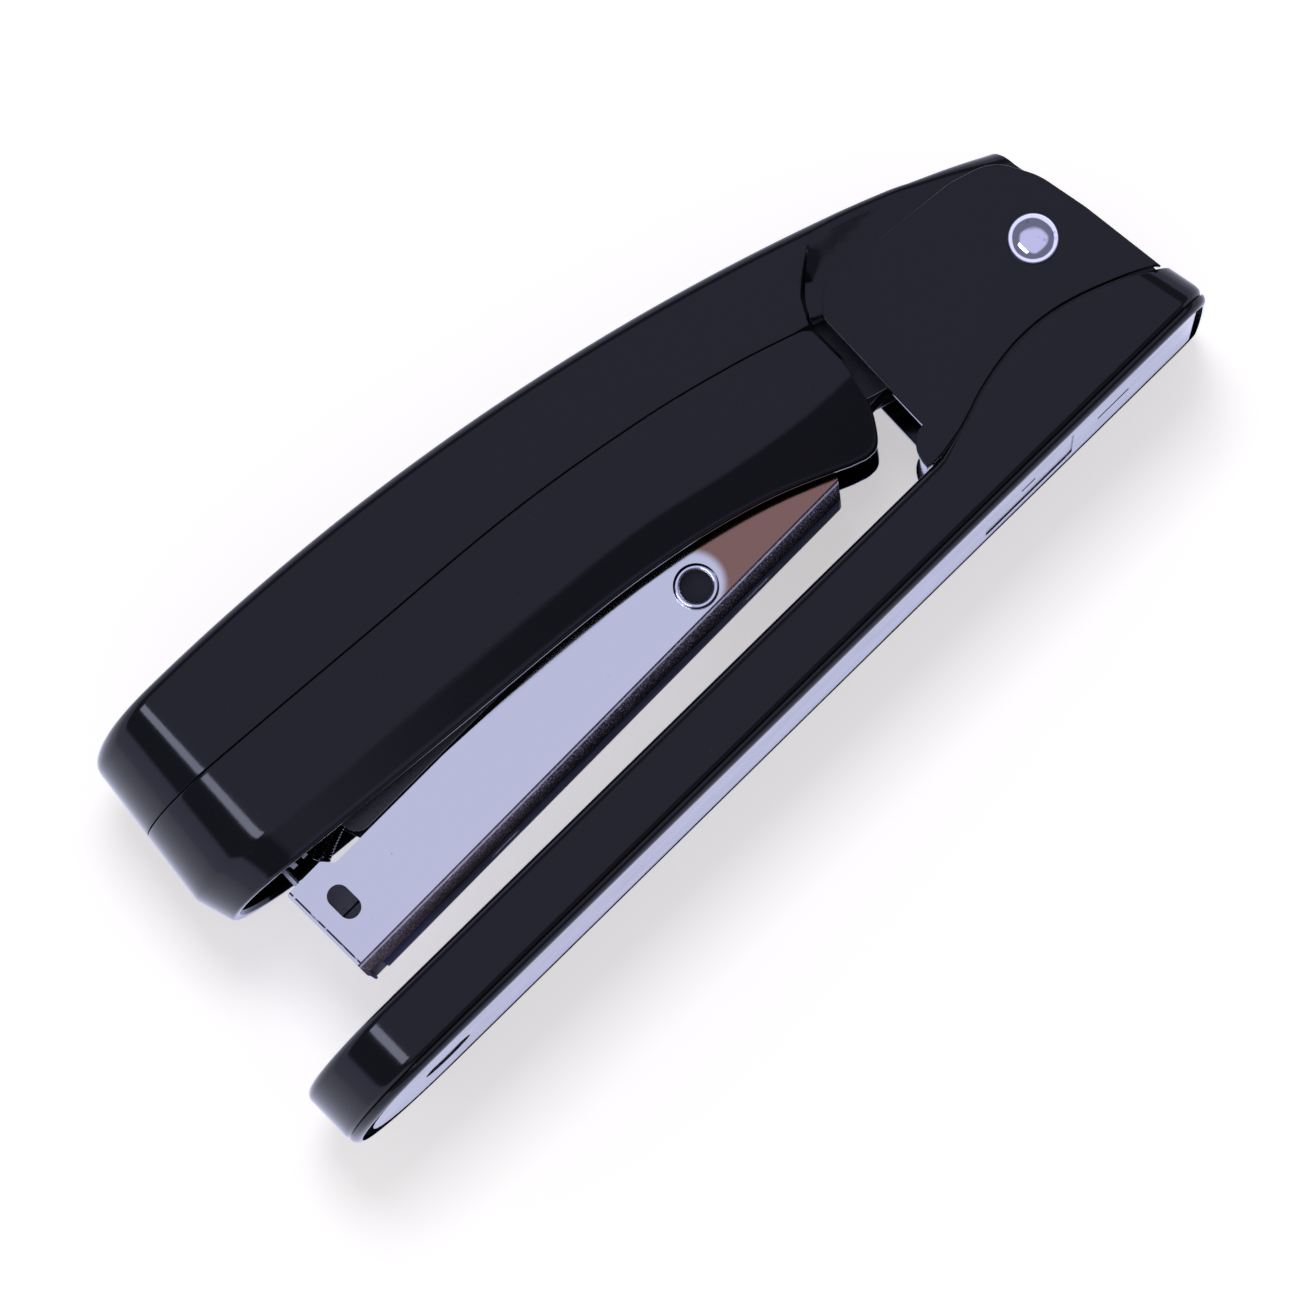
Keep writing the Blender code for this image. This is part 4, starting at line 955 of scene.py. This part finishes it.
# %% Shape of the base
BASE_FRONT = -75.7
BASE_REAR = 75.5
BASE_HALF = 18.0
BASE_NOSE = 15.7
DECK_Z = 9.3
TAIL_CORNER = 4.0
FOOT_RADIUS = 1.1
SWEEP_X = 37.5
ANVIL_X = sum(corner.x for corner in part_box("anvil_plate")) / MM / 2
REAR_SEAM = smooth_curve(
    [(SWEEP_X, DECK_Z), (42, 10.1), (48, 12.0), (55, 13.0), (62, 12.2), (70, 9.3), (BASE_REAR, 6.5)]
)


def base_top(x):
    return DECK_Z if x < SWEEP_X else REAR_SEAM(x)


def base_ring(height_at, inset):
    """One ring round the base at height_at(x), moved inwards by inset(x)."""
    half = []
    centre = BASE_FRONT + BASE_NOSE
    for ahead, across in oval(2.1, 33):
        x = centre - BASE_NOSE * ahead
        tuck = inset(x)
        half.append((centre - (BASE_NOSE - tuck) * ahead, (BASE_HALF - tuck) * across, height_at(x)))
    for x in [*spread(centre, 36.5, 20)[1:], *spread(36.5, BASE_REAR - TAIL_CORNER, 34)[1:]]:
        half.append((x, BASE_HALF - inset(x), height_at(x)))
    for angle in spread(0, math.pi / 2, 9)[1:]:
        x = BASE_REAR - 0.25 - TAIL_CORNER + TAIL_CORNER * math.sin(angle)
        tuck = inset(x)
        width = BASE_HALF - TAIL_CORNER + (TAIL_CORNER - tuck) * math.cos(angle)
        half.append((x - tuck * math.sin(angle), width, height_at(x)))
    x, width, z = half[-1]
    half += [(x + 0.25 * (1 - s * s), width * s, z) for s in (0.66, 0.33)]
    half.append((x + 0.25, 0.0, z))
    half = [(x + tail_lean(z) * ease((x - 69.0) / 4.0), y, z) for x, y, z in half]
    return half + [(x, -y, z) for x, y, z in half[-2:0:-1]]


def tail_lean(z):
    """The tail face leans forwards as it rises."""
    return 0.45 - 0.20 * max(z - 2.6, 0.0)


def top_radius(x):
    """The deck's edge radius, which sharpens along the S at the tail."""
    return 1.3 - 0.95 * ease((x - 36.0) / 6.0)


def level(z):
    return lambda x: z


def base_rings():
    """Rings from the foot, up the wall and over the deck's edge."""
    rings = [base_ring(level(0.0), level(9.0))]
    for angle in spread(0, math.pi / 2, 7):
        height = FOOT_RADIUS * (1 - math.sin(angle))
        rings.append(base_ring(level(height), level(FOOT_RADIUS * (1 - math.cos(angle)) + 0.12)))
    rings.append(base_ring(level(FOOT_RADIUS + 0.55), level(0.10)))
    rings.append(base_ring(level(FOOT_RADIUS + 0.75), level(0.0)))
    for share in spread(0.15, 1.0, 5):
        def height(x, share=share):
            return 1.9 + share * (base_top(x) - top_radius(x) - 1.9)
        rings.append(base_ring(height, level(0.0)))
    for angle in spread(0, math.pi / 2, 8)[1:]:
        def height(x, angle=angle):
            return base_top(x) - top_radius(x) * (1 - math.sin(angle))

        def inset(x, angle=angle):
            return top_radius(x) * (1 - math.cos(angle))
        rings.append(base_ring(height, inset))
    return rings


def make_base(material):
    rings = base_rings()
    rings.append([(x, y * 0.5, z) for x, y, z in rings[-1]])
    rings[0] = [(x, y * 0.9, z) for x, y, z in rings[1]]
    rings.insert(0, [(x, 0.0, z) for x, y, z in rings[0]])
    rings.append([(x, 0.0, z) for x, y, z in rings[-1]])
    shell = closed_up(ring_skin(rings))
    below = base_ring(level(-1.0), level(1.6))
    lid = base_ring(level(1.4), level(1.6))
    room = ring_skin([[(x, 0.0, z) for x, y, z in below], below, lid, [(x, 0.0, z) for x, y, z in lid]])
    ceiling = DECK_Z - WALL
    dish = [(0.0, 8.4), (12.0, 8.4), (12.0, 9.05), (12.3, 9.4), (12.3, 12.0), (0.0, 12.0)]
    cuts = [
        closed_up(room),
        box((-48, -16.2, 1.0), (35.6, 16.2, ceiling)),
        bar(5.0, (ANVIL_X, 0, 1.0), (ANVIL_X, 0, ceiling)),
        box((37.2, -16.3, 1.0), (73.7, 16.3, 20.0)),
        turned(dish, (ANVIL_X, 0, 0), (0, 0, 1), 96),
        bar(2.3, (ANVIL_X, 0, 0), (ANVIL_X, 0, 12)),
        bar(2.0, (-33.0, -18.2, 4.6), (-33.0, -17.95, 4.6), 48),
    ]
    return finished("base_tray", carved(shell, cuts=cuts), "base", ["base_shell"], material, sharp=32)


make_base(BASE_PLASTIC)

# %% [markdown]
# ### Hinge housing
# Two ears stand up from the tail, joined by a front wall and a floor, all one moulding. Each ear
# is a flat slab with its rim rounded over, so that light runs round it in a fine line.

# %% Hinge housing
EAR_OUTER, EAR_INNER = 17.8, 15.2
EAR_EDGE = 0.55
SEAM_ROOM = 0.18


def swept(x, z, along, down):
    """A quarter of an oval that leaves (x, z) downwards and ends level, to its front."""
    return [(x - along * math.sin(a), z - down * (1 - math.cos(a))) for a in spread(0, math.pi / 2, 9)]


def ear_outline():
    top = rounded(
        [
            (74.0, 7.0 + SEAM_ROOM, 0), (72.55, 19.0, 14), (71.2, 26.0, 10), (68.3, 31.4, 6),
            (62.5, 33.2, 8), (42.0, 35.2, 3.2), (39.2, 32.2, 2.5), (38.7, 13.8, 0),
        ],
        12,
    )
    foot = [(x, REAR_SEAM(x) + SEAM_ROOM) for x in spread(36.5, 73.6, 26)]
    return [*top, *swept(38.6, 13.8, 3.3, 4.2)[1:], *foot]


def make_hinge_housing(material):
    outline = ear_outline()
    near = slab(outline, -EAR_OUTER, -EAR_INNER, edge=EAR_EDGE, segments=4)
    far = slab(outline, EAR_INNER, EAR_OUTER, edge=EAR_EDGE, segments=4)
    skirt = [(37.5, 1.7), (73.4, 1.7), (73.4, 8.0), (68, 14), (55, 16), (42, 14), (37.5, 9.0)]
    wall = [(36.4, 9.7), (37.7, 9.7), (37.7, 1.9), (39.5, 1.9), (39.5, 13.3)]
    wall += swept(38.9, 13.5, 2.9, 3.6)[:-1]
    joins = [
        far,
        slab(skirt, EAR_INNER - 0.25, 16.0),
        slab(skirt, -16.0, -EAR_INNER + 0.25),
        box((37.6, -15.6, 1.8), (73.25, 15.6, 3.3)),
        slab(wall, -15.5, 15.5),
        box((72.1, -15.6, 2.0), (73.1, 15.6, 7.5)),
    ]
    housing = carved(near, joins=joins, cuts=[pin_hole()])
    return finished("ear_housing", housing, "base", ["hinge_housing"], material, sharp=30)


make_hinge_housing(BASE_PLASTIC)

# %% [markdown]
# ### Hinge pin
# A domed chrome head shows on each ear: the head of the pin on one side, and a matching cap on
# the other. Both are turned on a lathe: a profile is spun all the way round.

# %% Hinge pin and cap
HEAD_RADIUS, HEAD_HEIGHT = 3.3, 1.7
HEAD_EDGE = 0.12
STEM_RADIUS = 1.75


def make_pin_end(name, side, length, material):
    face = EAR_OUTER + 0.1
    foot, crown = face + 0.2, HEAD_HEIGHT - 0.2
    dome = [(HEAD_RADIUS * math.cos(a), foot + crown * math.sin(a)) for a in spread(0.0, 1.5, 20)]
    profile = [(0.0, face + HEAD_HEIGHT), *dome[::-1]]
    profile += [(HEAD_RADIUS, face + HEAD_EDGE), (HEAD_RADIUS - HEAD_EDGE, face)]
    profile += [(STEM_RADIUS, face), (STEM_RADIUS, length), (0.0, length)]
    head = turned(profile, (PIN_X, 0, PIN_Z), (0, side, 0), 96)
    return finished(name, head, "base", ["hinge_pin" if side < 0 else "pin_cap"], material, sharp=35)


# %% [markdown]
# ## Magazine
# The magazine is folded from one bright sheet: two sides, a rounded fold along each lower edge,
# and raised cheeks at the front. It is modelled level, with the pin as its origin, and tilted
# into place by the same small angle as the working model. The fold is dull, and the underside is
# coloured darker and bluer as painted shade, so they get finishes of their own.

# %% Magazine channel
CHANNEL_FRONT, CHANNEL_END = -124.45, -38.0
CHANNEL_HALF, CHANNEL_WALL, CHANNEL_BOTTOM = 7.5, 0.7, -4.85
FOLD_RADIUS, FOLD_INNER_RADIUS = 1.9, 1.2
CHEEK_TOP, CHEEK_LENGTH = 9.7, 5.8
SIDE_TOP_FRONT, SIDE_TOP_REAR = 8.2, 7.4
EYELET = (-60.35, 0.25)
EYELET_HOLE_RADIUS = 2.75
SLOT_CENTRES = (-100.5, -54.9)
SIDE_FINISH, FOLD_FINISH, UNDERSIDE_FINISH, INSIDE_FINISH = range(4)


def channel_outline():
    cheek_end = CHANNEL_FRONT + CHEEK_LENGTH
    corners = [
        (CHANNEL_FRONT, CHANNEL_BOTTOM, 0.25), (CHANNEL_END - 1.5, CHANNEL_BOTTOM, 1.0),
        (CHANNEL_END, CHANNEL_BOTTOM + 2.0, 0.8), (CHANNEL_END, SIDE_TOP_REAR, 0.5),
        (-85, SIDE_TOP_REAR, 4), (-98, 8.1, 4), (cheek_end + 1.5, SIDE_TOP_FRONT, 0.6),
        (cheek_end + 0.2, CHEEK_TOP, 0.5), (CHANNEL_FRONT, CHEEK_TOP, 0.35),
    ]
    return rounded(corners, 5)


def trough(half, floor, radius, top, steps, start):
    """A bar with its two lower edges rounded, which runs from start to past the channel's end."""
    corners = [(-half, floor, radius), (half, floor, radius), (half, top, 0), (-half, top, 0)]
    return slab(rounded(corners, steps), start, CHANNEL_END + 2, "YZ")


def floor_slot(x):
    ends = [(x + u, v, 1.0) for u, v in ((-2.6, -1.1), (2.6, -1.1), (2.6, 1.1), (-2.6, 1.1))]
    return slab(rounded(ends, 8), -8, -3.5, "XY")


def finish_of(face):
    """Which of the sheet's four finishes a face gets."""
    middle = face.calc_center_median()
    if face.normal.z < -0.97 and middle.z < CHANNEL_BOTTOM + 0.1:
        return UNDERSIDE_FINISH
    if -0.97 <= face.normal.z < -0.02 and abs(face.normal.y) > 0.05 and middle.z < -2.9:
        return FOLD_FINISH
    if abs(middle.y) < 6.95 and middle.x > CHANNEL_FRONT + 0.3:
        return INSIDE_FINISH
    return SIDE_FINISH


def make_magazine(*finishes):
    body = slab(channel_outline(), -CHANNEL_HALF, CHANNEL_HALF)
    around = trough(CHANNEL_HALF, CHANNEL_BOTTOM, FOLD_RADIUS, 12, 12, CHANNEL_FRONT - 2)
    inner, floor = CHANNEL_HALF - CHANNEL_WALL, CHANNEL_BOTTOM + CHANNEL_WALL
    hollow = trough(inner, floor, FOLD_INNER_RADIUS, 14, 8, CHANNEL_FRONT + 0.5)
    rear, front, low, high = -118.4, -121.4, 1.5, 6.4
    window = rounded([(x, z, 1.45) for x, z in ((front, low), (rear, low), (rear, high), (front, high))], 12)
    cuts = [
        hollow, box((-123.9, -6.7, -8), (-121.9, 6.7, -3.5)), *map(floor_slot, SLOT_CENTRES),
        slab(window, -10, 0),
        bar(EYELET_HOLE_RADIUS, (EYELET[0], -10, EYELET[1]), (EYELET[0], 10, EYELET[1]), 72),
    ]
    channel = carved(body, keeps=[around], cuts=cuts)
    bmesh.ops.recalc_face_normals(channel, faces=channel.faces)
    for face in channel.faces:
        face.material_index = finish_of(face)
    side = finishes[SIDE_FINISH]
    made = finished("magazine_sheet", channel, "magazine", ["magazine_channel"], side, local=True, sharp=28)
    for finish in finishes[1:]:
        made.data.materials.append(finish)
    return made


# %% [markdown]
# ### Eyelets
# The bracket inside is held by an eyelet on each side: a short tube whose outer end is rolled
# over into a round rim.

# %% Eyelets
TUBE_INNER, TUBE_OUTER = 2.1, 2.5
ROLL_RADIUS, ROLL_HEIGHT = 0.46, 7.95


def make_eyelet(name, side, material):
    profile = [(TUBE_INNER, 5.4), (TUBE_OUTER, 5.4), (TUBE_OUTER, 7.6)]
    for angle in spread(-math.pi / 3, math.pi, 16):
        out, up = ROLL_RADIUS * math.cos(angle), ROLL_RADIUS * math.sin(angle)
        profile.append((TUBE_OUTER + out, ROLL_HEIGHT + up))
    ring = turned(profile, (EYELET[0], 0, EYELET[1]), (0, side, 0), 96)
    node_name = "eyelet_left" if side > 0 else "eyelet_right"
    return finished(name, ring, "magazine", [node_name], material, local=True, sharp=50)


# %% [markdown]
# ## Springs
# A coil is a small circle carried along a winding path. The circle is laid once and extruded from
# station to station, square to the path at each, and both ends are capped.

# %% Wind a wire
def wound(points, radius, sides=8):
    """A wire of the given radius along the points, capped at both ends."""
    places = [Vector(p) for p in points]
    rings = []
    side = None
    for number, place in enumerate(places):
        before, after = places[max(number - 1, 0)], places[min(number + 1, len(places) - 1)]
        along = (after - before).normalized()
        if side is None:
            side = along.orthogonal().normalized()
        side = (side - along * side.dot(along)).normalized()
        other = along.cross(side)
        angles = spread(0, math.tau, sides + 1)[:-1]
        rings.append([place + radius * (math.cos(a) * side + math.sin(a) * other) for a in angles])
    wire = ring_skin(rings, cap_last=True)
    bmesh.ops.contextual_create(wire, geom=[edge for edge in wire.edges if edge.is_boundary])
    bmesh.ops.recalc_face_normals(wire, faces=wire.faces)
    return wire


def coil(radius, start, end, turns, steps, place):
    """Points of a coil: place(a, b, h) puts a point of the circle (a, b) at the height h."""
    points = []
    for i, height in enumerate(spread(start, end, turns * steps + 1)):
        angle = math.tau * i / steps
        points.append(place(radius * math.cos(angle), radius * math.sin(angle), height))
    return points


# %% [markdown]
# ### Arched spring under the front
# A close-wound spring bowed into an arch presses the front of the magazine down. Its coils lie
# against each other, so the winding follows the arch with one turn for each wire's width.

# %% Arched spring
def make_arched_spring(material):
    first, last, rise = Vector((-118.6, 0, 10.3)), Vector((-100.4, 0, 10.2)), 2.6
    radius, wire, turns, steps = 1.08, 0.20, 46, 14
    across = Vector((0, 1, 0))

    def on_arch(t):
        return first.lerp(last, t) + Vector((0, 0, rise * 4 * t * (1 - t)))

    points = []
    for i in range(turns * steps + 1):
        t = i / (turns * steps)
        along = (on_arch(t + 0.01) - on_arch(t - 0.01)).normalized()
        lift = across.cross(along)
        angle = math.tau * i / steps
        points.append(on_arch(t) + radius * (math.cos(angle) * across + math.sin(angle) * lift))
    winding = wound(points, wire, 6)
    return finished("arched_spring", winding, "handle", ["arch_spring"], material, local=True)


# %% [markdown]
# ### Springs that join two moving parts
# The handle spring, the pusher spring and the anvil spring each stand between two bodies. Each is
# wound where it stands at rest and left on no body, with its placing baked into its mesh.

# %% Handle, pusher and anvil springs
def make_handle_spring(material):
    x = -50.0
    winding = wound(coil(3.6, 5.1, 16.0, 5, 28, lambda a, b, z: (x + a, b, z)), 0.45, 10)
    spring = finished("handle_coil", winding, None, ["handle_spring"], material, local=True)
    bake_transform(spring)
    return spring


def make_pusher_coil(material):
    z = -0.9
    winding = wound(coil(1.7, -117.1, -69.2, 26, 14, lambda a, b, x: (x, a, b + z)), 0.22, 6)
    spring = finished("pusher_coil", winding, None, ["pusher_spring"], material, local=True)
    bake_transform(spring)
    return spring


def make_anvil_coil(material):
    winding = wound(coil(2.75, 2.8, 7.1, 4, 24, lambda a, b, z: (ANVIL_X + a, b, z)), 0.25, 8)
    spring = finished("anvil_coil", winding, None, ["anvil_spring"], material)
    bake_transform(spring)
    return spring


# %% [markdown]
# ### Return leaf
# A bowed leaf of spring steel rises from the housing's floor to just under the magazine's bracket.
# It stays with the base in every pose.

# %% Return leaf
LEAF_KNOTS = [(41.5, 3.9), (46, 4.0), (50, 7.2), (53.5, 13.0), (56, 15.9), (58.5, 15.2)]
LEAF_HALF, LEAF_HALF_THICKNESS = 4.0, 0.25
LEAF_REACH = 0.05


def make_return_leaf(material):
    line = smooth_curve(LEAF_KNOTS)
    start, end = LEAF_KNOTS[0][0], LEAF_KNOTS[-1][0]
    upper, lower = [], []
    for x in spread(start, end, 40):
        before, after = max(x - LEAF_REACH, start), min(x + LEAF_REACH, end)
        slope = (line(after) - line(before)) / (after - before)
        off = Vector((-slope, 1)).normalized() * LEAF_HALF_THICKNESS
        upper.append((x + off.x, line(x) + off.y))
        lower.append((x - off.x, line(x) - off.y))
    leaf = slab(upper + lower[::-1], -LEAF_HALF, LEAF_HALF)
    return finished("return_leaf", leaf, "base", ["return_spring"], material)


# %% [markdown]
# ## Make the pieces and finish the rest
# The makers above are called here, except for the base and the hinge housing, which are made where
# they are defined. The working model's own nodes that stay in view get their finishes through their material
# slots.

# %% Make every piece
make_top_cover(COVER_PLASTIC)
make_lower_skirt(COVER_PLASTIC)
make_pin_end("pin_head_near", -1, -15.0, CHROME)
make_pin_end("pin_head_far", 1, 15.3, CHROME)
make_magazine(BRIGHT_PLATE, FOLD_PLATE, SHADED_UNDERSIDE, INSIDE_PLATE)
make_eyelet("eyelet_near", -1, CHROME)
make_eyelet("eyelet_far", 1, CHROME)
make_arched_spring(SHADED_SPRING)
make_handle_spring(SPRING_STEEL)
make_pusher_coil(SPRING_STEEL)
make_anvil_coil(SPRING_STEEL)
make_return_leaf(SPRING_STEEL)

# %% Finish the working model's own nodes
KEPT_NODES = {
    "bottom_plate": PLATE_PLASTIC, "housing_screw_left": BRUSHED, "housing_screw_right": BRUSHED,
    "anvil_plate": CHROME, "anvil_button": BRUSHED, "staple_rail": BRUSHED, "rear_carrier": PAINTED,
    "pivot_sleeve": BRUSHED, "pusher_rod": SPRING_STEEL, "rod_anchor": DULL_PLASTIC, "pusher": DARK_STEEL,
    "handle_frame": PAINTED, "frame_screw": BRUSHED, "driver_blade": BRUSHED,
    # The driver's rivets take the black paint so that they read dark, as painted shade inside the handle.
    "driver_rivet_left": PAINTED, "driver_rivet_right": PAINTED,
}
for name, material in KEPT_NODES.items():
    NODES[name].data.materials.clear()
    NODES[name].data.materials.append(material)
unfinished = [name for name, obj in NODES.items() if not obj.hide_render and name not in KEPT_NODES]
print("finished", len(KEPT_NODES), "nodes, left", unfinished)

# %% [markdown]
# ## Table and light
# The table is one pale sheet just behind the far side. It is see-through from behind, so that the
# far side can be looked at too. A cool room and two softboxes give black plastic and bright steel
# something to mirror.

# %% Table
TABLE_Y = 0.0200
TABLE_HALF = 2.5
PAPER = (0.86, 0.85, 0.865, 1)
GLOW_SEEN, GLOW_MIRRORED = (1, 0.97, 0.985, 1), (0.64, 0.68, 1.0, 1)
STRENGTH_SEEN, STRENGTH_MIRRORED = 0.54, 0.95


def mixed(tree, factor, first, second):
    """A shader that goes from first to second as the factor goes from 0 to 1."""
    pick = node(tree, "ShaderNodeMixShader")
    tree.links.new(factor, pick.inputs[0])
    tree.links.new(first.outputs[0], pick.inputs[1])
    tree.links.new(second.outputs[0], pick.inputs[2])
    return pick


def make_paper():
    """Pale paper that glows a little, stronger and bluer where it is mirrored; clear from behind."""
    material = bpy.data.materials.new("table_paper")
    material.use_nodes = True
    tree = material.node_tree
    tree.nodes.clear()
    paper = node(tree, "ShaderNodeBsdfDiffuse", Color=PAPER)
    lift = node(tree, "ShaderNodeEmission")
    mirrored = node(tree, "ShaderNodeLightPath").outputs["Is Glossy Ray"]
    tint = node(tree, "ShaderNodeMix", data_type="RGBA")
    tint.inputs[6].default_value = GLOW_SEEN
    tint.inputs[7].default_value = GLOW_MIRRORED
    glow = node(tree, "ShaderNodeMapRange")
    glow.inputs["To Min"].default_value = STRENGTH_SEEN
    glow.inputs["To Max"].default_value = STRENGTH_MIRRORED
    tree.links.new(mirrored, glow.inputs["Value"])
    tree.links.new(mirrored, tint.inputs[0])
    tree.links.new(tint.outputs[2], lift.inputs["Color"])
    tree.links.new(glow.outputs[0], lift.inputs["Strength"])
    both = node(tree, "ShaderNodeAddShader")
    tree.links.new(paper.outputs[0], both.inputs[0])
    tree.links.new(lift.outputs[0], both.inputs[1])
    behind = node(tree, "ShaderNodeNewGeometry").outputs["Backfacing"]
    seen = mixed(tree, behind, both, node(tree, "ShaderNodeBsdfTransparent"))
    output = node(tree, "ShaderNodeOutputMaterial")
    tree.links.new(seen.outputs[0], output.inputs[0])
    return material


def add_table():
    bm = bmesh.new()
    bmesh.ops.create_grid(bm, x_segments=1, y_segments=1, size=TABLE_HALF)
    bmesh.ops.rotate(bm, cent=(0, 0, 0), matrix=Matrix.Rotation(math.pi / 2, 3, "X"), verts=bm.verts)
    bmesh.ops.translate(bm, vec=(0, TABLE_Y, 0), verts=bm.verts)
    mesh = bpy.data.meshes.new("table")
    bm.to_mesh(mesh)
    bm.free()
    mesh.materials.append(make_paper())
    table = bpy.data.objects.new("table", mesh)
    bpy.context.scene.collection.objects.link(table)
    return table


print("table", [round(side, 2) for side in add_table().dimensions])

# %% [markdown]
# ### The room
# What lights the table is plain grey. What the stapler mirrors is a cool room, named here by how
# strong it is at each step away from straight ahead: lit ahead, dark further off, bright at the
# sides. Noise makes the borders between the steps uneven.

# %% Room
ROOM = (0.54, 0.55, 0.85)
ROOM_GREY = (0.34, 0.34, 0.34)
ROOM_GAIN, ROOM_JAG = 2.0, 0.24
ROOM_AHEAD, ROOM_DARK, ROOM_SIDE = 0.54, 0.15, 0.8
ROOM_STEPS = [(0.22, ROOM_AHEAD), (0.29, ROOM_DARK), (0.62, ROOM_DARK), (0.70, ROOM_SIDE)]


def room_strength(tree):
    """How strong the mirrored room is in each direction."""
    place = node(tree, "ShaderNodeTexCoord").outputs["Generated"]
    patches = node(tree, "ShaderNodeTexNoise", Scale=1.5, Detail=1.5)
    split = node(tree, "ShaderNodeSeparateXYZ")
    jag = node(tree, "ShaderNodeMath", operation="MULTIPLY_ADD")
    jag.inputs[1].default_value = ROOM_JAG
    away = node(tree, "ShaderNodeMapRange")
    away.inputs["From Min"].default_value = -1.0
    away.inputs["From Max"].default_value = 0.0
    level = node(tree, "ShaderNodeValToRGB")
    stops = level.color_ramp.elements
    stops[0].position, stops[0].color = 0.0, (ROOM_AHEAD,) * 3 + (1,)
    stops[1].position, stops[1].color = 1.0, (ROOM_SIDE,) * 3 + (1,)
    for position, strength in ROOM_STEPS:
        stops.new(position).color = (strength,) * 3 + (1,)
    gain = node(tree, "ShaderNodeMath", operation="MULTIPLY")
    gain.inputs[1].default_value = ROOM_GAIN
    tree.links.new(place, patches.inputs["Vector"])
    tree.links.new(place, split.inputs[0])
    tree.links.new(patches.outputs["Fac"], jag.inputs[0])
    tree.links.new(split.outputs["Y"], jag.inputs[2])
    tree.links.new(jag.outputs[0], away.inputs["Value"])
    tree.links.new(away.outputs[0], level.inputs[0])
    tree.links.new(level.outputs[0], gain.inputs[0])
    return gain.outputs[0]


def light_room():
    """White behind everything, a plain grey room for the table, and a cool one to be mirrored."""
    world = bpy.data.worlds.new("room")
    bpy.context.scene.world = world
    world.use_nodes = True
    tree = world.node_tree
    tree.nodes.clear()
    cool = node(tree, "ShaderNodeBackground", Color=(*ROOM, 1))
    tree.links.new(room_strength(tree), cool.inputs["Strength"])
    grey = node(tree, "ShaderNodeBackground", Color=(*ROOM_GREY, 1))
    white = node(tree, "ShaderNodeBackground", Color=(1, 1, 1, 1))
    ray = node(tree, "ShaderNodeLightPath").outputs
    unseen = mixed(tree, ray["Is Glossy Ray"], grey, cool)
    seen = mixed(tree, ray["Is Camera Ray"], unseen, white)
    output = node(tree, "ShaderNodeOutputWorld")
    tree.links.new(seen.outputs[0], output.inputs[0])
    return world


print("world", light_room().name)

# %% [markdown]
# ### Softboxes
# One softbox lights the table and the pieces without being mirrored. The other is a tall, cool one
# that only shows as the long highlight round the noses.

# %% Softboxes
SOFTBOX_DISTANCE = 0.9


def add_softbox(name, direction, width, height, power, colour=(1, 1, 1)):
    light = bpy.data.lights.new(name, "AREA")
    light.shape = "RECTANGLE"
    light.size = width
    light.size_y = height
    light.energy = power
    light.color = colour
    lamp = bpy.data.objects.new(name, light)
    away = Vector(direction).normalized()
    turn = away.to_track_quat("Z", "Y").to_matrix().to_4x4()
    lamp.matrix_world = Matrix.Translation(LOOK_AT + away * SOFTBOX_DISTANCE) @ turn
    bpy.context.scene.collection.objects.link(lamp)
    return lamp


key_light = add_softbox("key_softbox", (0.22, -1.0, 0.27), 0.26, 0.26, 2.7)
key_light.visible_glossy = False
nose_light = add_softbox("nose_softbox", (-0.525, -1.0, 0.06), 0.15, 0.50, 1.5, (0.72, 0.76, 1.0))
nose_light.visible_diffuse = False
bpy.context.scene.view_settings.view_transform = "Standard"
print("softboxes", key_light.name, nose_light.name)
